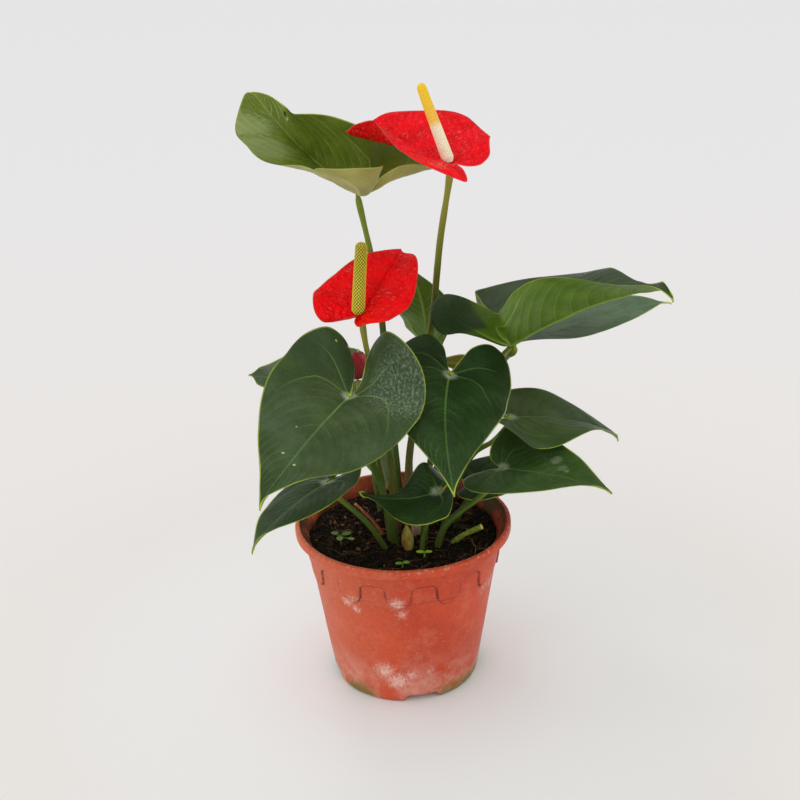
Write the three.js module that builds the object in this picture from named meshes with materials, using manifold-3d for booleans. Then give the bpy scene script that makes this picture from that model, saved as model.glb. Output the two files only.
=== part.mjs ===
// A potted anthurium: a plastic nursery pot filled with peat, with heart-shaped leaves on
// long petioles, two open flowers, one flower still furled, and what grows or lies on the peat.
// Millimetres, +Z up, the front of the plant faces -Y. The origin is the middle of the pot's base.
import * as THREE from 'three';
import { mergeVertices } from 'three/addons/utils/BufferGeometryUtils.js';
import Module from 'manifold-3d';

const wasm = await Module();
wasm.setup();

// ---------------------------------------------------------------- driving dimensions
const POT_HEIGHT = 109.5;
const RIM_RADIUS = 70; // outside of the rolled lip
const LIP_HEIGHT = 6;
const LIP_WIDTH = 5;
const BODY_TOP_RADIUS = 60.2; // outside of the plain wall, at the height of the band's lower edge
const BODY_BASE_RADIUS = 47.4;
const BASE_ROUNDING = 3;
const WALL = 2;
const BAND_BOTTOM = 81.5; // lower edge of the raised band under the lip
const BAND_PROUD = 1.5;
const WINDOW_COUNT = 12; // recesses that leave a row of round tabs along the band
const WINDOW_TOP = 94.4;
const WINDOW_HALF_ANGLE = 8.5; // degrees
const WINDOW_OFFSET = -18.8; // degrees from the front to the middle of the first window
const TAB_DROP = 3; // how far a tab hangs below the band's lower edge
const FOOT_HEIGHT = 6;
const FOOT_WIDTH = 5;
const BASE_DISC_RADIUS = 22; // flat middle of the base, level with the foot ring
const CHANNEL_HEIGHT = 4; // the ring between the middle and the foot stands this far clear
const FLOOR_TOP = CHANNEL_HEIGHT + WALL;
const NOTCH_COUNT = 4; // drainage notches through the foot ring
const NOTCH_WIDTH = 25;
const NOTCH_OFFSET = 12; // degrees from the front to the middle of the first notch
const DRAIN_HOLE_RADIUS = 4;
const DRAIN_HOLE_COUNT = 6;

const SOIL_TOP = 99.5;
const SOIL_RELIEF = 1.4; // height of the crumbs on the peat's surface
const CLEARANCE = 0.32; // gap between two pieces that rest against each other
const BLADE_THICKNESS = 0.9;
const SEAT_STEP = 0.05; // stems and spadices are moved off their blades in such steps until clear
const SEAT_SEARCH = 3;
const STEM_DEPTH = 6; // how deep the stems stand in the peat
const HOLE_FLARE = 0.06; // how much wider a hole in the peat gets for each millimetre upward

// ---------------------------------------------------------------- colours
const COLOURS = {
  terracottaPlastic: [0xc2503a, 0.5],
  peat: [0x2a1d17, 1.0],
  darkLeaf: [0x24402a, 0.35],
  brightLeaf: [0x4d6b2c, 0.4],
  oliveLeaf: [0x6f6f2a, 0.5],
  petioleGreen: [0x4f7030, 0.45],
  peduncleOlive: [0x5d5a2c, 0.45],
  redSpathe: [0xc01822, 0.25],
  yellowSpadix: [0xf0b32a, 0.6],
  greenSpadix: [0xa9a63c, 0.6],
  brownSheath: [0x8a6a2c, 0.7],
  paleSheath: [0xb59a6c, 0.8],
  dryStub: [0x8c4a34, 0.7],
  seedlingGreen: [0x6f9a35, 0.5],
  bark: [0x5d4a3a, 0.9],
};

function material([colour, roughness]) {
  return new THREE.MeshStandardMaterial({ color: colour, roughness, metalness: 0 });
}

const materials = {};
for (const [name, look] of Object.entries(COLOURS)) materials[name] = material(look);

// ---------------------------------------------------------------- solids: join, cut, convert
function toSolid(geometry) {
  const bare = geometry.clone();
  bare.deleteAttribute('normal');
  bare.deleteAttribute('uv');
  const merged = mergeVertices(bare, 1e-4);
  const solid = new wasm.Manifold(new wasm.Mesh({
    numProp: 3,
    vertProperties: new Float32Array(merged.attributes.position.array),
    triVerts: new Uint32Array(merged.index.array),
  }));
  return solid;
}

function toGeometry(solid) {
  const mesh = solid.getMesh();
  const geometry = new THREE.BufferGeometry();
  geometry.setAttribute('position', new THREE.BufferAttribute(mesh.vertProperties, 3));
  geometry.setIndex(new THREE.BufferAttribute(mesh.triVerts, 1));
  return geometry;
}

const group = new THREE.Group();

function addNode(name, geometry, look) {
  const mesh = new THREE.Mesh(geometry, materials[look]);
  mesh.name = name;
  group.add(mesh);
}

const radians = THREE.MathUtils.degToRad;
const vector = (point) => new THREE.Vector3(...point);

// A closed body from rings of points, each ring with the same number of points.
function loft(rings) {
  const sides = rings[0].length;
  const positions = rings.flat().flatMap((p) => [p.x, p.y, p.z]);
  const faces = [];
  for (let row = 0; row < rings.length - 1; row += 1) {
    for (let side = 0; side < sides; side += 1) {
      const a = row * sides + side;
      const b = row * sides + ((side + 1) % sides);
      faces.push(a, b, b + sides, a, b + sides, a + sides);
    }
  }
  const last = (rings.length - 1) * sides;
  for (let side = 1; side < sides - 1; side += 1) {
    faces.push(0, side + 1, side);
    faces.push(last, last + side, last + side + 1);
  }
  const geometry = new THREE.BufferGeometry();
  geometry.setAttribute('position', new THREE.Float32BufferAttribute(positions, 3));
  geometry.setIndex(faces);
  return geometry;
}

// Rings round a curve; radiusAt(t, angle) gives the distance from the curve.
function ringsAlong(curve, rows, sides, radiusAt) {
  const frames = curve.computeFrenetFrames(rows, false);
  const rings = [];
  for (let row = 0; row <= rows; row += 1) {
    const t = row / rows;
    const centre = curve.getPointAt(t);
    const ring = [];
    for (let side = 0; side < sides; side += 1) {
      const angle = (2 * Math.PI * side) / sides;
      const out = frames.normals[row].clone().multiplyScalar(Math.cos(angle));
      out.addScaledVector(frames.binormals[row], Math.sin(angle));
      ring.push(centre.clone().addScaledVector(out, radiusAt(t, angle, row, side)));
    }
    rings.push(ring);
  }
  return rings;
}

function smoothCurve(points) {
  return new THREE.CatmullRomCurve3(points.map(vector), false, 'centripetal');
}

// ---------------------------------------------------------------- leaf and spathe blades
// Half the outline of a blade, from the notch at the petiole round the lobe to the drip tip.
// The first number runs along the midrib (1 is the tip, -1 the far end of the lobes), the
// second is the distance from the midrib (1 is half the width).
const LEAF_OUTLINE = [[0, 0], [-0.36, 0.05], [-0.78, 0.15], [-1, 0.42], [-0.86, 0.76], [-0.42, 0.97],
  [0.08, 1], [0.3, 0.9], [0.52, 0.67], [0.72, 0.39], [0.87, 0.165], [0.945, 0.055], [1, 0]];
const SPATHE_OUTLINE = [[0, 0], [-0.3, 0.1], [-0.72, 0.26], [-1, 0.5], [-0.85, 0.8], [-0.4, 0.98],
  [0.1, 1], [0.34, 0.92], [0.57, 0.74], [0.76, 0.5], [0.9, 0.25], [0.965, 0.08], [1, 0]];
// Where the blade is cut into columns along its outline, and into rows from midrib to margin.
const COLUMNS = [0.04, 0.12, 0.2, 0.275, 0.35, 0.425, 0.5, 0.59, 0.68, 0.77, 0.86, 0.93, 1];
const ROWS = [0, 0.4, 0.75, 1];
const VEIN_START = 0.1; // outline points behind this share of the midrib hang on the petiole's end
const HOOK_START = 0.86; // the drip tip bends beyond this share of the midrib
const WAVES = 2.3; // undulations along one margin
const LOBE_CURL_END = 0.35; // the lobes' own curl ends at this share of the midrib

const clamp01 = (value) => Math.min(Math.max(value, 0), 1);
const smoothstep = (value) => clamp01(value) ** 2 * (3 - 2 * clamp01(value));

function bladeSurface(spec) {
  const outline = new THREE.SplineCurve(spec.outline.map(([x, y]) => new THREE.Vector2(x, y)));
  const [arch, hook, sweep, lift] = [spec.arch, spec.hook, spec.sweep, spec.lift].map(radians);
  const pitchAt = (s) => -arch * (s - 0.5) - hook * clamp01((s - HOOK_START) / (1 - HOOK_START)) ** 2;
  const yawAt = (s) => sweep * (s - 0.5);
  const heading = (pitch, yaw) => new THREE.Vector3(
    Math.cos(pitch) * Math.cos(yaw), Math.cos(pitch) * Math.sin(yaw), Math.sin(pitch));

  // The midrib, walked in short steps from the petiole to the tip.
  const steps = 60;
  const midrib = [new THREE.Vector3()];
  for (let step = 0; step < steps; step += 1) {
    const s = (step + 0.5) / steps;
    midrib.push(midrib[step].clone().addScaledVector(heading(pitchAt(s), yawAt(s)), 1 / steps));
  }
  const chord = midrib[steps].length();
  const along = midrib[steps].clone().normalize();
  const across = new THREE.Vector3(0, 0, 1).cross(along).normalize();
  const local = [along, across, along.clone().cross(across)];

  // The same three directions in the plant, with the blade rolled about the line to its tip.
  const junction = vector(spec.junction);
  const span = vector(spec.tip).sub(junction);
  const scale = span.length() / chord;
  const ahead = span.clone().normalize();
  const level = new THREE.Vector3(0, 0, 1).cross(ahead).normalize();
  const upright = ahead.clone().cross(level);
  const roll = radians(spec.roll);
  const left = level.clone().multiplyScalar(Math.cos(roll)).addScaledVector(upright, Math.sin(roll));
  const up = upright.clone().multiplyScalar(Math.cos(roll)).addScaledVector(level, -Math.sin(roll));

  // How far each half is folded up, blended between four places along the midrib.
  const foldPlaces = [-spec.lobe, 0.05, 0.5, 1];
  function foldAt(x, folds) {
    let fold = folds[0];
    for (let k = 0; k < 3; k += 1) {
      const share = (x - foldPlaces[k]) / (foldPlaces[k + 1] - foldPlaces[k]);
      fold += (folds[k + 1] - folds[k]) * smoothstep(share);
    }
    return radians(fold);
  }

  // The lobes may be curled more or less than the rest of their half.
  function curlAt(x, side) {
    const rest = side > 0 ? spec.curlLeft : spec.curlRight;
    const lobes = (side > 0 ? spec.lobeCurlLeft : spec.lobeCurlRight) ?? rest;
    return radians(lobes + (rest - lobes) * smoothstep((x + spec.lobe) / (LOBE_CURL_END + spec.lobe)));
  }

  // A margin may be drawn aside (x) and up (z) at even steps along the half outline.
  const [bowLeft, bowRight] = [spec.bowLeft, spec.bowRight].map((bows) => bows && new THREE.SplineCurve(
    [[0, 0], ...bows, [0, 0]].map(([x, z]) => new THREE.Vector2(x, z))));

  const edgeXAt = (t) => outline.getPoint(t).x * (outline.getPoint(t).x < 0 ? spec.lobe : 1);
  const ribShareAt = (t) => clamp01((edgeXAt(t) - VEIN_START) / (1 - VEIN_START)) ** 1.15;

  // One point of the blade: t along the half outline, w from midrib (0) to margin (1).
  function pointAt(t, w, side) {
    const edgeX = edgeXAt(t);
    const edgeY = outline.getPoint(t).y * spec.width * 0.5 + spec.spread * Math.max(-edgeX, 0);
    const s = ribShareAt(t);
    const x = s + (edgeX - s) * w;
    const y = edgeY * w;
    const phase = radians(spec.phase + (side > 0 ? 0 : 150));
    const wave = spec.wave * w * w * Math.sin(2 * Math.PI * WAVES * t + phase)
      * clamp01(8 * (1 - t)) * clamp01(6 * t);

    let pitch = pitchAt(clamp01(x));
    const yaw = yawAt(clamp01(x));
    const place = new THREE.Vector3();
    if (x < 0) {
      pitch = pitchAt(0) + (lift * x) / spec.lobe;
      place.addScaledVector(heading(pitchAt(0) + (0.5 * lift * x) / spec.lobe, yaw), x);
    } else {
      const cell = Math.min(Math.floor(x * steps), steps - 1);
      place.lerpVectors(midrib[cell], midrib[cell + 1], x * steps - cell);
    }
    const forward = heading(pitch, yaw);
    const normal = new THREE.Vector3(
      -Math.sin(pitch) * Math.cos(yaw), -Math.sin(pitch) * Math.sin(yaw), Math.cos(pitch));
    const sideways = normal.clone().cross(forward);

    const fold = foldAt(x, side > 0 ? spec.foldLeft : spec.foldRight);
    const curl = curlAt(x, side);
    const bend = Math.abs(curl * y) < 1e-5 ? 1e-5 : (curl * y) / (spec.width * 0.5);
    const reach = (y / bend) * (Math.sin(fold + bend) - Math.sin(fold)) - wave * Math.sin(fold + bend);
    const rise = -(y / bend) * (Math.cos(fold + bend) - Math.cos(fold)) + wave * Math.cos(fold + bend);
    place.addScaledVector(sideways, reach * side).addScaledVector(normal, rise);

    const [u, v, h] = local.map((axis) => place.dot(axis) * scale);
    const point = junction.clone();
    point.addScaledVector(ahead, u).addScaledVector(left, v).addScaledVector(up, h);
    const bows = side > 0 ? bowLeft : bowRight;
    if (bows) {
      const bow = bows.getPoint(t).multiplyScalar(w * w);
      point.add(new THREE.Vector3(bow.x, 0, bow.y));
    }
    return point;
  }

  // The direction straight up from the blade where its petiole ends.
  const base = new THREE.Vector3(-Math.sin(pitchAt(0)), 0, Math.cos(pitchAt(0)));
  const normal = ahead.clone().multiplyScalar(base.dot(along))
    .addScaledVector(left, base.dot(across)).addScaledVector(up, base.dot(local[2]));
  return { pointAt, ribShareAt, normal };
}

// The blade as a thin closed body. Both faces are split into the same triangles.
function bladeGeometry(spec, thickness = BLADE_THICKNESS) {
  const { pointAt, ribShareAt } = bladeSurface(spec);
  const points = [];
  const index = new Map();
  const keyOf = (side, column, row) => {
    if (column === COLUMNS.length - 1) return 'tip';
    return row === 0 ? `rib ${ribShareAt(COLUMNS[column])}` : `${side} ${column} ${row}`;
  };
  const vertex = (side, column, row) => {
    const key = keyOf(side, column, row);
    if (!index.has(key)) {
      index.set(key, points.length);
      points.push(pointAt(COLUMNS[column], ROWS[row], side));
    }
    return index.get(key);
  };
  const triangles = [];
  const addTriangle = (a, b, c) => {
    if (a !== b && b !== c && c !== a) triangles.push([a, b, c]);
  };
  const margin = { 1: [], '-1': [] };
  for (const side of [1, -1]) {
    for (let column = 0; column < COLUMNS.length - 1; column += 1) {
      for (let row = 0; row < ROWS.length - 1; row += 1) {
        const a = vertex(side, column, row);
        const b = vertex(side, column, row + 1);
        const c = vertex(side, column + 1, row + 1);
        const d = vertex(side, column + 1, row);
        if (side > 0) {
          addTriangle(a, c, b);
          addTriangle(a, d, c);
        } else {
          addTriangle(a, b, c);
          addTriangle(a, c, d);
        }
      }
    }
    for (let row = 0; row < ROWS.length; row += 1) margin[side].push(vertex(side, 0, row));
    for (let column = 1; column < COLUMNS.length; column += 1) {
      margin[side].push(vertex(side, column, ROWS.length - 1));
    }
  }
  const loop = [...margin[-1], ...margin[1].slice(1, -1).reverse()];

  const normals = points.map(() => new THREE.Vector3());
  for (const [a, b, c] of triangles) {
    const normal = points[b].clone().sub(points[a]).cross(points[c].clone().sub(points[a]));
    for (const corner of [a, b, c]) normals[corner].add(normal);
  }
  const positions = [];
  for (const shift of [0.5, -0.5]) {
    points.forEach((point, k) => {
      const offset = normals[k].clone().normalize().multiplyScalar(shift * thickness);
      positions.push(...point.clone().add(offset).toArray());
    });
  }
  const under = points.length;
  const faces = [];
  for (const [a, b, c] of triangles) faces.push(a, b, c, under + a, under + c, under + b);
  for (let k = 0; k < loop.length; k += 1) {
    const a = loop[k];
    const b = loop[(k + 1) % loop.length];
    faces.push(b, a, under + a, b, under + a, under + b);
  }
  const geometry = new THREE.BufferGeometry();
  geometry.setAttribute('position', new THREE.Float32BufferAttribute(positions, 3));
  geometry.setIndex(faces);
  return geometry;
}

// ---------------------------------------------------------------- the blades' places and shapes
// junction is where the petiole meets the blade and tip is the end of the drip tip. width, lobe,
// spread and wave are shares of the midrib's length; all other values are degrees. A fold is how
// far that half is raised at the lobe's end, the petiole, the middle and the tip. A bow is how
// far the margin is drawn aside and up, in millimetres, at six even steps along the half outline.
// The petiole runs from its base on the peat through the via points to the junction.
const LEAVES = {
  leaf_front_left: {
    junction: [-29.5, -54.4, 218.8], tip: [-75.8, -148.2, 194.6],
    roll: 3, width: 0.82, lobe: 0.36, spread: 0.06,
    foldLeft: [75, -2, -22, 39], foldRight: [53, 28, 8, 31], curlLeft: -27, curlRight: 11,
    arch: 26, hook: 30, sweep: -12, lift: 27, wave: 0.029, phase: -8,
    look: 'darkLeaf', radius: 2.2, base: [-5, -11], flare: 1.9,
    via: [[-12, -15, 136], [-20, -21, 165]],
  },
  leaf_front_centre: {
    junction: [30.7, -20.4, 217], tip: [28.7, -111.2, 180.7],
    roll: -7, width: 0.78, lobe: 0.43, spread: 0.11,
    foldLeft: [-5, -6, -4, 19], foldRight: [-12, 10, 6, 18], curlLeft: -20, curlRight: -17,
    arch: 24, hook: 20, sweep: 21, lift: 16, wave: 0.01, phase: 10,
    look: 'darkLeaf', radius: 2.1, base: [13, -13],
    via: [[16, -9, 140], [24, -10, 180]],
  },
  leaf_small_cupped: {
    junction: [21.7, -38.5, 147.3], tip: [-26.6, -39.5, 149.3],
    roll: 3, width: 1.02, lobe: 0.3, spread: 0.03,
    foldLeft: [38, -4, -26, 5], foldRight: [-12, 30, -5, 5], curlLeft: -12, curlRight: -13,
    arch: -34, hook: -7, sweep: -16, lift: 9, wave: 0.05, phase: -149,
    look: 'darkLeaf', radius: 1.5, base: [11, -28],
    via: [[13, -28, 112], [19, -32, 132]],
  },
  leaf_low_left: {
    junction: [-45.3, -45.2, 159.4], tip: [-84.9, -120.3, 153.2],
    roll: 16, width: 0.56, lobe: 0.27, spread: -0.04,
    foldLeft: [36, -4, -3, 2], foldRight: [3, 15, -2, 5], curlLeft: -4, curlRight: -10,
    arch: 13, hook: 41, sweep: 7, lift: -1, wave: 0.031, phase: 103,
    look: 'darkLeaf', radius: 1.8, base: [-9, -20],
    via: [[-22, -28, 121], [-38, -35, 142]],
  },
  leaf_left_behind: {
    junction: [-34, 30, 195], tip: [-91.3, -14.7, 218.8],
    roll: -20, width: 0.87, lobe: 0.38, spread: 0.04,
    foldLeft: [15, 12, 6, -4], foldRight: [8, -4, 13, 11], curlLeft: -6, curlRight: -11,
    arch: -5, hook: -16, sweep: -1, lift: 22, wave: 0.05, phase: -67,
    look: 'darkLeaf', radius: 1.9, base: [-6, 13],
    via: [[-8, 20, 140], [-17, 31, 172]],
  },
  leaf_right_middle: {
    junction: [69.7, 1.9, 178.3], tip: [144.3, 34.2, 144.5],
    roll: 7, width: 0.9, lobe: 0.26, spread: 0.05,
    foldLeft: [41, -4, 11, 19], foldRight: [14, 3, 20, 13], curlLeft: -4, curlRight: -9,
    arch: 32, hook: 30, sweep: 5, lift: 28, wave: 0.012, phase: -6,
    look: 'darkLeaf', radius: 1.9, base: [25, 1],
    via: [[32, 9, 121], [47, 19, 145], [59, 8, 159]],
  },
  leaf_right_low: {
    junction: [62.3, -23.7, 154.8], tip: [122.2, -78.2, 163.7],
    roll: 8, width: 0.79, lobe: 0.17, spread: 0.08,
    foldLeft: [39, 13, 6, 3], foldRight: [10, 5, 9, 21], curlLeft: -2, curlRight: -8,
    arch: 8, hook: 24, sweep: -9, lift: 11, wave: 0.017, phase: -47,
    look: 'darkLeaf', radius: 2, base: [20, -21],
    via: [[27, -22, 115], [50, -26, 138]],
  },
  leaf_right_back: {
    junction: [55, 20, 126], tip: [100, 20, 130],
    roll: 16, width: 0.85, lobe: 0.42, spread: 0.05,
    foldLeft: [12, 8, 6, 10], foldRight: [12, 6, 4, 8], curlLeft: -8, curlRight: -8,
    arch: 28, hook: 18, sweep: 4, lift: 5, wave: 0.02, phase: 40,
    look: 'darkLeaf', radius: 1.6, base: [33, 12],
    via: [[42, 16, 112]],
  },
  leaf_right_folded: {
    junction: [69.9, 5.1, 226], tip: [158.2, -49.8, 270],
    roll: -7, width: 1.11, lobe: 0.21, spread: 0.36,
    foldLeft: [41, 43, 34, -19], foldRight: [83, 20, 34, 26],
    curlLeft: -38, curlRight: 7, lobeCurlLeft: 8, lobeCurlRight: 13,
    arch: 24, hook: 95, sweep: -62, lift: -18, wave: 0.017, phase: -110,
    bowLeft: [[9, 24], [24, 24], [18, 3], [5, 1], [-13, -5], [-6, 7]],
    bowRight: [[13, 19], [12, -8], [11, -11], [4, -7], [3, -2], [-5, 0]],
    look: 'brightLeaf', radius: 2.2, base: [20, 8],
    via: [[24, 24, 130], [45, 43, 172], [62, 38, 194], [68.5, 20, 212]],
  },
  leaf_right_under: {
    junction: [75.9, 67.5, 206.7], tip: [179.7, 59.6, 231.1],
    roll: -1, width: 0.89, lobe: 0.16, spread: 0.06,
    foldLeft: [21, 12, -3, 21], foldRight: [28, 13, 1, 6], curlLeft: -7, curlRight: -1,
    arch: 2, hook: 24, sweep: -1, lift: 30, wave: 0.022, phase: -157,
    look: 'darkLeaf', radius: 2.1, base: [15, 16],
    via: [[24, 34, 130], [50, 50, 175], [67, 50, 200]],
  },
  leaf_top: {
    junction: [-21.9, 48.9, 313.1], tip: [-93.5, 120.5, 363.9],
    roll: -14, width: 0.80, lobe: 0.33, spread: 0.09,
    foldLeft: [34, 41, 27, -38], foldRight: [-10, 63, 70, 10],
    curlLeft: 14, curlRight: 18,
    arch: -32, hook: 59, sweep: -3, lift: 56, wave: -0.02, phase: -59,
    bowLeft: [[4, 18], [14, 8], [0, -1], [-5, -4], [-14, 1], [-5, 5]],
    bowRight: [[1, 13], [-2, 4], [1, -6], [-12, -1], [-8, -4], [2, 1]],
    look: 'brightLeaf', radius: 2.1, base: [0, 10],
    via: [[-3, 10, 143], [-8, 10, 216], [-11, 24, 251], [-16, 42, 277]],
  },
  leaf_upright_back: {
    junction: [21.1, 58.2, 211.8], tip: [7, 41.9, 269.5],
    roll: -10, width: 0.81, lobe: 0.25, spread: -0.05,
    foldLeft: [6, -15, 25, 21], foldRight: [16, -8, -36, 10], curlLeft: -9, curlRight: 6,
    arch: 20, hook: 26, sweep: 7, lift: 8, wave: 0.032, phase: -82,
    look: 'oliveLeaf', radius: 1.9, base: [6, 22],
    via: [[6, 34, 140], [11, 36, 172], [18, 46, 196]],
  },
  leaf_young_back: {
    junction: [43, 26, 205.5], tip: [22, 28, 207],
    roll: 80, width: 0.6, lobe: 0.4, spread: 0.05,
    foldLeft: [10, 8, 6, 8], foldRight: [12, 8, 6, 8], curlLeft: -6, curlRight: -6,
    arch: 20, hook: 12, sweep: 4, lift: 6, wave: 0.02, phase: 60,
    look: 'oliveLeaf', radius: 1.4, base: [13, 22],
    via: [[19, 36, 132], [32, 42, 175]],
  },
  leaf_low_back: {
    junction: [-17.2, 33.1, 146.8], tip: [-10.1, 22.9, 119.5],
    roll: 0, width: 0.9, lobe: 0.4, spread: 0.05,
    foldLeft: [10, 8, 8, 10], foldRight: [12, 8, 6, 8], curlLeft: -8, curlRight: -8,
    arch: 20, hook: 14, sweep: 3, lift: 4, wave: 0.02, phase: 20,
    look: 'oliveLeaf', radius: 1.5, base: [-14, 25],
    via: [[-19, 40, 125], [-20, 43, 142]],
  },
};

const SPATHES = {
  upper_spathe: {
    junction: [32.5, -12, 345], tip: [-28.1, 45, 352.9],
    roll: -32, width: 0.77, lobe: 0.21, spread: 0,
    foldLeft: [60, 50, 51, 43], foldRight: [-15, -8, 5, 27],
    curlLeft: 17, curlRight: 0, lobeCurlLeft: 14, lobeCurlRight: 0,
    arch: -20, hook: -41, sweep: 29, lift: -37, wave: 0, phase: 0,
    bowLeft: [[4.5, -0.2], [3.8, -5.7], [0.1, -9.3], [-3.5, 3.9], [2.6, 9], [0.2, 5.6]],
    bowRight: [[-3.2, -0.3], [-5.2, 1], [-6.3, -1.3], [3.2, 2.6], [1.6, 2.2], [8.7, 3.5]],
    radius: 2.2, base: [4, 3], via: [[5, 9, 146], [14, 26, 193], [21, 28, 228], [27, 9, 293]],
    spadix: { tip: [16.5, 1.1, 388.8], radius: 3.5, tipRadius: 2.7, look: 'yellowSpadix' },
  },
  lower_spathe: {
    junction: [-23.4, -11.1, 254], tip: [3.4, 35, 280.4],
    roll: 9, width: 1.01, lobe: 0.27, spread: -0.02,
    foldLeft: [34, 16, 17, 19], foldRight: [36, 29, 22, 14],
    curlLeft: -10, curlRight: -21, lobeCurlLeft: 20, lobeCurlRight: 24,
    arch: 21, hook: 7, sweep: 17, lift: -4, wave: 0.01, phase: -32,
    bowLeft: [[-1.6, 0.9], [-0.6, -0.5], [0.6, -0.1], [0.7, -1.5], [-0.9, 0.1], [-0.3, -0.1]],
    bowRight: [[-0.5, 4.1], [2.7, 4.5], [1.1, -2.8], [-0.2, -2.8], [0.5, 5], [-1.3, -0.8]],
    radius: 2, base: [-3, 1], via: [[-5, -2, 132], [-13, -7, 196], [-20, -10, 236]],
    spadix: { tip: [-20, -7, 298], radius: 3.9, tipRadius: 3.5, look: 'greenSpadix' },
  },
};

const FURLED_BLOOM = {
  base: [-9, 5], via: [[-14, -6, 150], [-22, -19, 195]],
  foot: [-25.2, -18.3, 216], top: [-24.2, -17.3, 232],
  radius: 4.8, stemRadius: 1.5, greenTipLength: 2,
};
// Papery sheaths that stood round the young stems: foot on the peat, top, and widest radius.
const SHEATHS = {
  sheath_brown: { foot: [3, -21], top: [2, -20, 115], radius: 3.4, look: 'brownSheath' },
  sheath_pale: { foot: [8, -4], top: [9, -4, 116], radius: 2.7, look: 'paleSheath' },
};
// Short dead ends of old stems, each standing in the peat and leaning over.
const STUBS = {
  stub_dry: {
    foot: [-11, -4], lean: [-20, 1, 108], end: [-31, 6, 118],
    radius: 1.5, narrowing: 0.5, look: 'dryStub',
  },
  stub_cut: {
    foot: [28, -16], lean: [37, -13, 102], end: [51, -8, 106],
    radius: 1.7, narrowing: 1, look: 'seedlingGreen',
  },
};
const BARK_CHIP = { start: [33, 4], end: [44, 1], radius: 1.7 };
const SEEDLING_STEM = 0.6;
// Seedlings: where they stand, and each small leaf as [direction in degrees, reach, size].
const SEEDLINGS = {
  seedling_left: {
    foot: [-40, -15], height: 7, leaves: [[20, 4, 3.2], [150, 4.5, 2.6], [265, 5, 2.8], [320, 9, 2.2]],
  },
  seedling_right: { foot: [13, -34], height: 3.5, leaves: [[0, 2.6, 2.3], [175, 2.8, 2.4]] },
  seedling_front: { foot: [-1, -46], height: 3, leaves: [[10, 2.4, 2.2], [190, 2.4, 2.2]] },
};

// ---------------------------------------------------------------- pot
const POT_SIDES = 48;
const bodyRadius = (z) => BODY_BASE_RADIUS + ((BODY_TOP_RADIUS - BODY_BASE_RADIUS) * z) / BAND_BOTTOM;
const LIP_BOTTOM = POT_HEIGHT - LIP_HEIGHT;

// A profile of [radius, height] pairs turned about the vertical axis.
function turned(profile, sides = POT_SIDES) {
  const points = profile.map(([radius, height]) => new THREE.Vector2(radius, height));
  return toSolid(new THREE.LatheGeometry(points, sides).rotateX(Math.PI / 2));
}

// Places a flat outline, drawn as (sideways, upward), upright at an angle from the front.
function radialPrism(shape, degrees, radius, depth) {
  const angle = radians(degrees);
  const outward = new THREE.Vector3(Math.sin(angle), -Math.cos(angle), 0);
  const up = new THREE.Vector3(0, 0, 1);
  const sideways = up.clone().cross(outward);
  const geometry = new THREE.ExtrudeGeometry(shape, { depth, bevelEnabled: false, curveSegments: 2 });
  const frame = new THREE.Matrix4().makeBasis(sideways, up, outward);
  frame.setPosition(outward.clone().multiplyScalar(radius - depth / 2));
  return toSolid(geometry.applyMatrix4(frame));
}

// The recess between two tabs: rounded above, and widening below so that the tabs end round.
function windowShape() {
  const half = BODY_TOP_RADIUS * Math.sin(radians(WINDOW_HALF_ANGLE));
  const flare = BODY_TOP_RADIUS * Math.sin(radians(180 / WINDOW_COUNT)) - half;
  const below = BAND_BOTTOM - TAB_DROP - 1;
  const shape = new THREE.Shape();
  shape.moveTo(-half - flare, below);
  shape.quadraticCurveTo(-half - 0.1 * flare, below + 1, -half, BAND_BOTTOM + 2);
  shape.lineTo(-half + 1.4, WINDOW_TOP - 3.5);
  shape.quadraticCurveTo(-half + 1.8, WINDOW_TOP, -half + 4.6, WINDOW_TOP);
  shape.lineTo(half - 4.6, WINDOW_TOP);
  shape.quadraticCurveTo(half - 1.8, WINDOW_TOP, half - 1.4, WINDOW_TOP - 3.5);
  shape.lineTo(half, BAND_BOTTOM + 2);
  shape.quadraticCurveTo(half + 0.1 * flare, below + 1, half + flare, below);
  return shape;
}

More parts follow.
